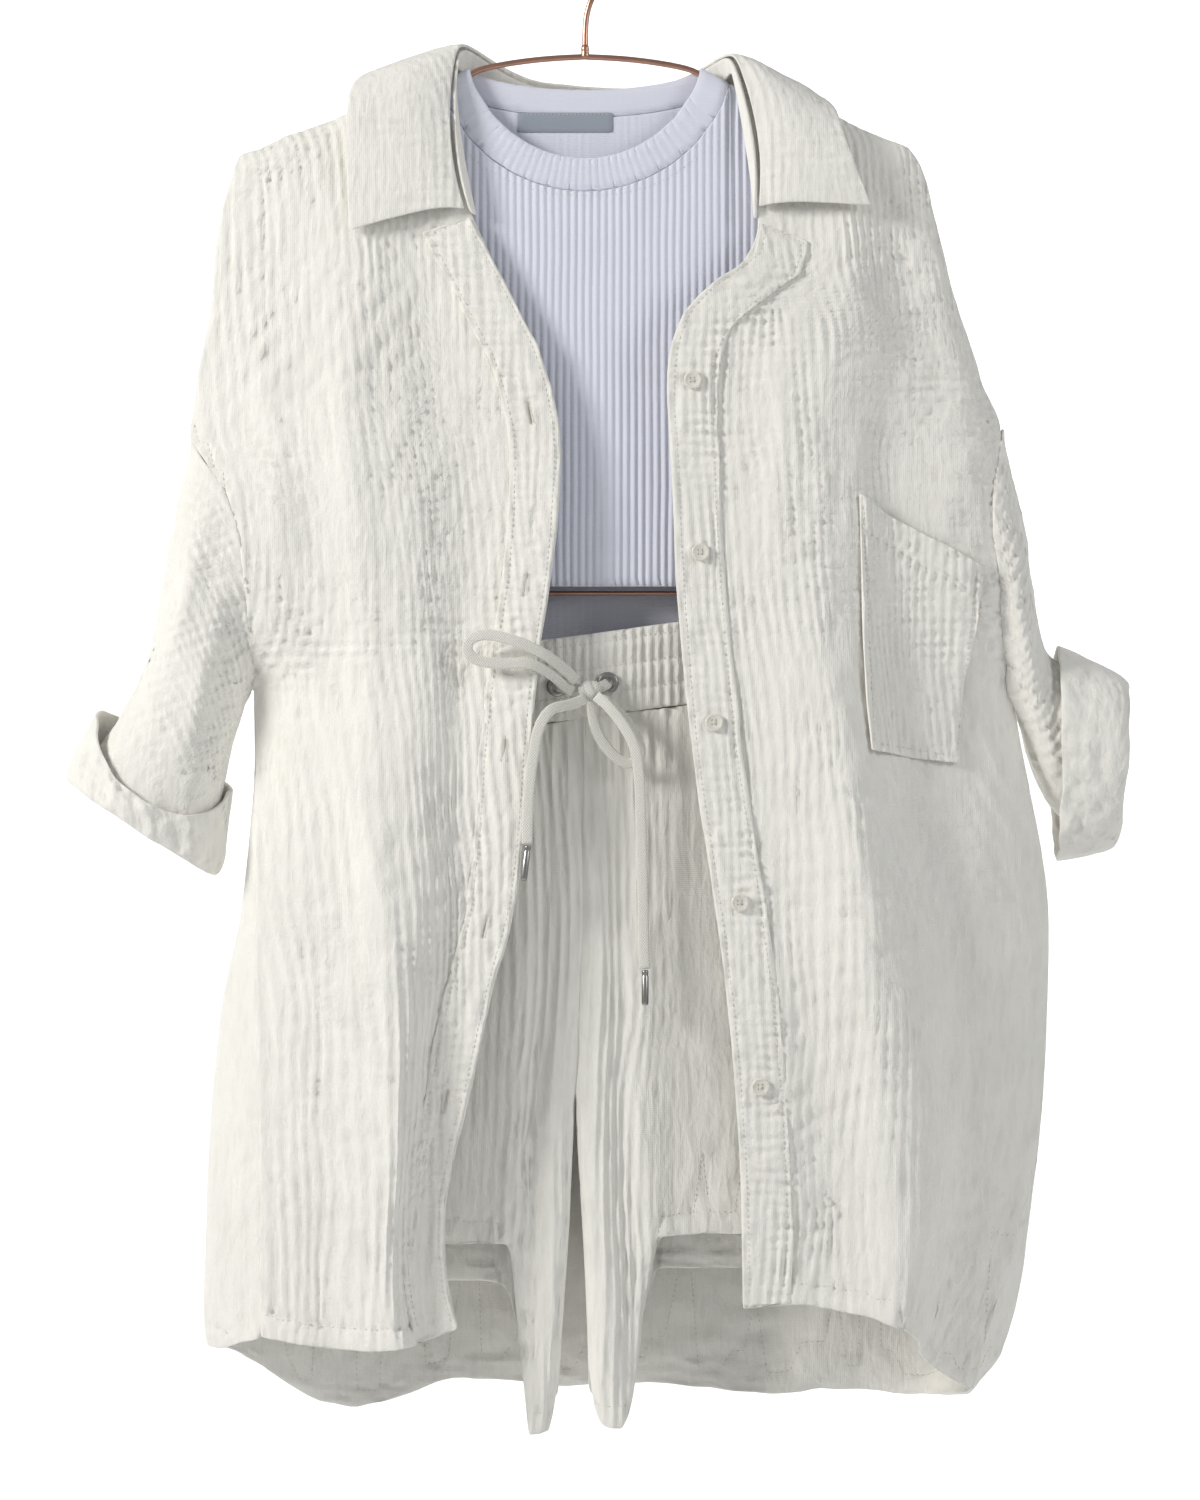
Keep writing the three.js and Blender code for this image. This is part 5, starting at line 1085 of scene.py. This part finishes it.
class LOUNGE_OT_shorts(bpy.types.Operator):
    """Dresses the shorts: the shirred waistband, four leg panels and the eyelets"""

    bl_idname = "lounge.shorts"
    bl_label = "Shorts"

    def execute(self, context):
        height = context.scene.lounge_cloth.crinkle / MM
        gauze, thread = finish_of("gauze_shorts"), finish_of("thread")
        band = mesh_copy("waistband", "shirred_band", 2, swell=0.2)
        places = places_of(band.data)
        shift = np.zeros_like(places)
        outward = np.where(places[:, 1] < -4, 1, -1)
        channels = []
        for level in (0.0, 15.5, 31.0):
            channels.append([(x, self.band_top(x) - 4 - level - 1.5) for x in np.arange(-152, 153, 8.0)])
        for line in channels:
            shift[:, 1] -= outward * sewn_groove(places, line, 1.1, 1.5, 5.6)
        sewn = np.min([gap_from(places, line) for line in channels], axis=0)
        free = np.clip(sewn / 5.0, 0, 1) ** 0.7
        shift[:, 1] -= outward * 1.15 * free * gather_waves(places, 5.6)
        move_by(band, shift)
        settle(band, "waistband", finish_of("gauze_band"))
        rows = stitch_row("waist_stitches", channels, band, thread, 3.0, 2.0)
        for node, seed in (("shorts_front_left", 21), ("shorts_front_right", 21),
                           ("shorts_back_left", 27), ("shorts_back_right", 27)):
            piece = mesh_copy(node, node.replace("shorts", "leg"), 3, swell=0.3)
            hem, turn_up = hem_line(node), hem_line(node, HEM_TURN)
            laid_forward(piece, height * 0.85, 6.2, calm=[(hem, 18, 0.55, 0.5)],
                         seams=[(turn_up, 1.3, 1.4, 6.0)], fuller=[(hem, 12, 0.5)], seed=seed,
                         side_share=0.25)
            places = places_of(piece.data)
            below = gap_from(places, WAIST_SEAM)
            shift = np.zeros_like(places)
            toward = 0.9 if node.endswith("left") else -0.9
            shift[:, 0] = toward * np.exp(-((gap_from(places, CENTRE_SEAM) / 3.5) ** 2))
            fading = np.exp(-below / 60) * np.clip(below / 6, 0.3, 1)
            shift[:, 1] = -1.7 * fading * gather_waves(places, 9.5, 15)
            move_by(piece, shift)
            settle(piece, node, gauze)
            hem_row = stitch_row(node.replace("shorts", "hem") + "_stitches", [turn_up], piece, thread,
                                 front="front" in node)
        for side in ("left", "right"):
            node = "eyelet_" + side
            middle, face = lie_of(node)
            ring = turned("ring_" + side, EYELET_PROFILE, middle, face, finish_of("steel"), "steel", 48,
                          closed=True)
            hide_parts(node)
        return {"FINISHED"}

    @staticmethod
    def band_top(x):
        """How high the waistband's top edge lies, in millimetres."""
        return -434 + 10 * math.sin(math.pi * x / 220 - 0.26)


class LOUNGE_OT_shirt(bpy.types.Operator):
    """Dresses the shirt's two fronts and its back"""

    bl_idname = "lounge.shirt"
    bl_label = "Shirt Body"

    def execute(self, context):
        height = context.scene.lounge_cloth.crinkle / MM
        gauze, thread = finish_of("gauze"), finish_of("thread")
        for side, sign in (("left", 1), ("right", -1)):
            node = "shirt_front_" + side
            piece = mesh_copy(node, "gauze_front_" + side, 3, swell=0.3)
            hem, turn_up = hem_line(node), hem_line(node, HEM_TURN)
            placket = side_line("placket_" + side, sign)
            laid_forward(piece, height, calm=[(hem, 20, 0.5, 0.5), (placket, 26, 0.4, 0.75)],
                         seams=[(turn_up, 2.0, 1.6, 6.5)], folds=FRONT_DRAGS[side], fuller=[(hem, 12, 1.2)])
            settle(piece, node, gauze)
            hem_row = stitch_row("front_hem_stitches_" + side, [turn_up], piece, thread)
        back = mesh_copy("shirt_back", "gauze_back", 3, swell=0.3)
        hem, turn_up = hem_line("shirt_back", 0, 7), hem_line("shirt_back", HEM_TURN, 7)
        laid_forward(back, height, calm=[(hem, 20, 0.5, 0.5)], seams=[(turn_up, 1.4, 1.5, 6.5)],
                     fuller=[(hem, 12, 0.6)])
        settle(back, "shirt_back", gauze)
        hem_row = stitch_row("back_hem_stitches", [turn_up], back, thread, front=False)
        inner_row = stitch_row("back_hem_stitches_inside", [turn_up], back, thread)
        return {"FINISHED"}


class LOUNGE_OT_sleeves(bpy.types.Operator):
    """Dresses the rolled sleeves"""

    bl_idname = "lounge.sleeves"
    bl_label = "Sleeves"

    def execute(self, context):
        height = context.scene.lounge_cloth.crinkle / MM
        for side, (slant, cuff, drags) in SLEEVES.items():
            node = "sleeve_" + side
            piece = mesh_copy(node, "gauze_sleeve_" + side, 3, swell=0.4)
            laid_forward(piece, height, calm=[(cuff, 30, 0.6, 1.7)], folds=drags, slant=slant)
            lap_seam(piece, [bpy.data.objects["gauze_front_" + side], bpy.data.objects["gauze_back"]])
            settle(piece, node, finish_of(f"gauze_{side}_sleeve"))
        return {"FINISHED"}


class LOUNGE_OT_trimmings(bpy.types.Operator):
    """Dresses the plackets, collar and pocket, with their topstitching"""

    bl_idname = "lounge.trimmings"
    bl_label = "Plackets, Collar and Pocket"

    def execute(self, context):
        height = context.scene.lounge_cloth.crinkle / MM
        gauze, band, thread = finish_of("gauze"), finish_of("gauze_band"), finish_of("thread")
        for side, sign in (("left", 1), ("right", -1)):
            node = "placket_" + side
            piece = fine_band(node, "button_band_" + side, 1.4)
            inner = side_line(node, sign)
            edges = [side_line(node, 1, 3.5), side_line(node, -1, 3.5)]
            laid_forward(piece, height, calm=[(inner, 26, 0.4, 0.75)],
                         seams=[(line, 0.5, 0.9, 6.0) for line in edges])
            move_by(piece, np.array((0, -0.6, 0)))
            if side == "left":
                self.press_slits(piece)
            settle(piece, node, band)
            rows = stitch_row("band_stitches_" + side, edges, piece, thread)
        pocket = mesh_copy("pocket", "chest_pocket", 3)
        corners = self.corners(places_of(pocket.data))
        sides = self.inset(corners, 3.0)
        top_band = [(sides[0][0], sides[0][1] - 17), (sides[-1][0], sides[-1][1] - 17)]
        laid_forward(pocket, height, seams=[(sides, 0.8, 1.2, 6.0), (top_band, 1.4, 1.4, 6.0)],
                     fuller=[([corners[0], corners[-1]], 15, 0.7)])
        move_by(pocket, np.array((0, -0.6, 0)))
        settle(pocket, "pocket", gauze)
        rows = stitch_row("pocket_stitches", [sides, top_band], pocket, thread)
        stand = mesh_copy("collar_stand", "neck_stand", 2, swell=0.3)
        settle(stand, "collar_stand", band)
        leaf = mesh_copy("collar_leaf", "turned_collar", 3, swell=0.2)
        laid_forward(leaf, height * 0.55, seed=61, side_share=0.1)
        settle(leaf, "collar_leaf", gauze)
        return {"FINISHED"}

    @staticmethod
    def press_slits(piece):
        """Opens a narrow slit down the band at each buttonhole."""
        places = places_of(piece.data)
        shift = np.zeros_like(places)
        for middles in slit_lines():
            shift[:, 1] += 1.3 * np.exp(-((gap_from(places, middles) / 0.9) ** 4))
        move_by(piece, shift)

    @staticmethod
    def corners(places):
        """The pocket's corners: upper left, lower left, lower right and upper right."""
        flat = places[:, (0, 2)]
        found = []
        for x, z in ((-1, 1), (-1, -1), (1, -1), (1, 1)):
            found.append(tuple(flat[np.argmax(flat @ np.array((x, z)))]))
        return found

    @staticmethod
    def inset(corners, by):
        """The corners moved towards their middle."""
        middle = np.mean(corners, axis=0)
        moved = []
        for corner in corners:
            moved.append(tuple(np.array(corner) + unit(middle - np.array(corner)) * by * 1.4))
        return moved


def slit_lines():
    """The buttonholes' slits: short (x, z) lines down the middle of the left band."""
    lines = []
    for z in BUTTONHOLES:
        line = []
        for level in np.arange(z - 6.6, z + 6.7, 0.6):
            cut = slice_at("placket_left", level)
            line.append(((cut[0, 0] + cut[-1, 0]) / 2, level))
        lines.append(line)
    return lines


def across(face):
    """The upright and the sideways direction in a small face."""
    up = unit(np.cross(face, (1.0, 0, 0)))
    return up, np.cross(up, face)


class LOUNGE_OT_buttons(bpy.types.Operator):
    """Sews on the five buttons and works the buttonholes opposite"""

    bl_idname = "lounge.buttons"
    bl_label = "Buttons and Buttonholes"

    def execute(self, context):
        pearly, thread = finish_of("button"), finish_of("thread")
        for number in range(1, 6):
            node = f"button_{number}"
            middle, face = lie_of(node)
            middle = middle + face * 0.7
            piece = self.button(f"shirt_button_{number}", middle, face, pearly)
            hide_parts(node)
            self.cross(f"button_thread_{number}", middle, face, thread)
        carrier = bpy.data.objects["button_band_left"]
        for number, middles in enumerate(slit_lines(), 1):
            self.hole(f"buttonhole_{number}", carrier, middles, thread)
        return {"FINISHED"}

    @staticmethod
    def button(name, middle, face, material):
        """A dished round button with a raised rim and four holes."""
        up, aside = across(face)
        sides = 56
        corners, faces = [], []
        for r, h in BUTTON_PROFILE:
            for turn in np.linspace(0, 2 * math.pi, sides, endpoint=False):
                a, b = r * math.cos(turn), r * math.sin(turn)
                sunk = 0.0
                if r < 2.6:
                    for hole in range(4):
                        angle = math.pi / 4 + hole * math.pi / 2
                        gap = math.hypot(a - 1.55 * math.cos(angle), b - 1.55 * math.sin(angle))
                        sunk = max(sunk, 1.1 * math.exp(-((gap / 0.5) ** 4)))
                corners.append(middle + aside * a + up * b + face * (h - (sunk if h > 0.5 else 0)))
        for i in range(len(BUTTON_PROFILE) - 1):
            for j in range(sides):
                a, b = i * sides + j, i * sides + (j + 1) % sides
                faces.append((a, a + sides, b + sides, b))
        return mesh_piece(name, corners, faces, material)

    @staticmethod
    def cross(name, middle, face, material):
        """The crossed threads that hold a button."""
        up, aside = across(face)
        corners, faces = [], []
        for turn in (math.pi / 4, 3 * math.pi / 4):
            way = aside * math.cos(turn) + up * math.sin(turn)
            side = aside * -math.sin(turn) + up * math.cos(turn)
            for shift in (-0.22, 0.22):
                first = len(corners)
                for reach in np.linspace(-1.55, 1.55, 7):
                    lift = 0.95 - 0.5 * (abs(reach) / 1.55) ** 3
                    for a, b in ((-0.2, 0), (0, 0.2), (0.2, 0), (0, -0.2)):
                        corners.append(middle + way * reach + side * (shift + a) + face * (lift + b))
                for i in range(6):
                    for j in range(4):
                        a, b = first + i * 4 + j, first + i * 4 + (j + 1) % 4
                        faces.append((a, b, b + 4, a + 4))
        return mesh_piece(name, corners, faces, material, smooth=False)

    @staticmethod
    def hole(name, carrier, middles, material):
        """A buttonhole down the band: close bars of thread on both sides of its slit."""
        tree = tree_of(carrier)
        corners, faces = [], []
        for x, z in middles:
            for side in (-1, 1):
                spot = Vector(((x + side * 1.5) * MM, -0.2, z * MM))
                hit = tree.ray_cast(spot, Vector((0, 1, 0)), 0.5)
                if hit[0] is None:
                    continue
                first = len(corners)
                base = np.array(hit[0]) / MM
                for a, b in ((-0.8, -0.2), (-0.8, 0.2), (0.8, 0.2), (0.8, -0.2)):
                    corners.append((base[0] + a, base[1] + 0.1, base[2] + b))
                for a in (-0.6, 0.6):
                    corners.append((base[0] + a, base[1] - 0.32, base[2]))
                faces += [
                    (first, first + 3, first + 5, first + 4), (first + 1, first + 4, first + 5, first + 2),
                    (first, first + 4, first + 1), (first + 3, first + 2, first + 5),
                ]
        return mesh_piece(name, corners, faces, material, smooth=False)


OPERATORS = (
    LOUNGE_OT_stage, LOUNGE_OT_drawstring, LOUNGE_OT_hanger, LOUNGE_OT_top, LOUNGE_OT_shorts,
    LOUNGE_OT_shirt, LOUNGE_OT_sleeves, LOUNGE_OT_trimmings, LOUNGE_OT_buttons,
)


class LOUNGE_PT_panel(bpy.types.Panel):
    """Lists the set's pieces in the sidebar"""

    bl_idname = "LOUNGE_PT_panel"
    bl_label = "Lounge Set"
    bl_space_type = "VIEW_3D"
    bl_region_type = "UI"
    bl_category = "Lounge Set"

    def draw(self, context):
        for group in (context.scene.lounge_cloth, context.scene.lounge_trim, context.scene.lounge_studio):
            box = self.layout.box()
            for key in group.__annotations__:
                box.prop(group, key)
        for operator in OPERATORS:
            self.layout.operator(operator.bl_idname)


CLASSES = (LoungeCloth, LoungeTrim, LoungeStudio, *OPERATORS, LOUNGE_PT_panel)


def register():
    for each in CLASSES:
        bpy.utils.register_class(each)
    bpy.types.Scene.lounge_cloth = bpy.props.PointerProperty(type=LoungeCloth)
    bpy.types.Scene.lounge_trim = bpy.props.PointerProperty(type=LoungeTrim)
    bpy.types.Scene.lounge_studio = bpy.props.PointerProperty(type=LoungeStudio)


def unregister():
    del bpy.types.Scene.lounge_studio
    del bpy.types.Scene.lounge_trim
    del bpy.types.Scene.lounge_cloth
    for each in reversed(CLASSES):
        bpy.utils.unregister_class(each)


def main():
    """Builds the whole set on the frame."""
    register()
    bpy.ops.lounge.stage()
    bpy.ops.lounge.drawstring()
    bpy.ops.lounge.hanger()
    bpy.ops.lounge.top()
    bpy.ops.lounge.shorts()
    bpy.ops.lounge.shirt()
    bpy.ops.lounge.sleeves()
    bpy.ops.lounge.trimmings()
    bpy.ops.lounge.buttons()
    bpy.context.view_layer.update()


if __name__ == "__main__":
    main()
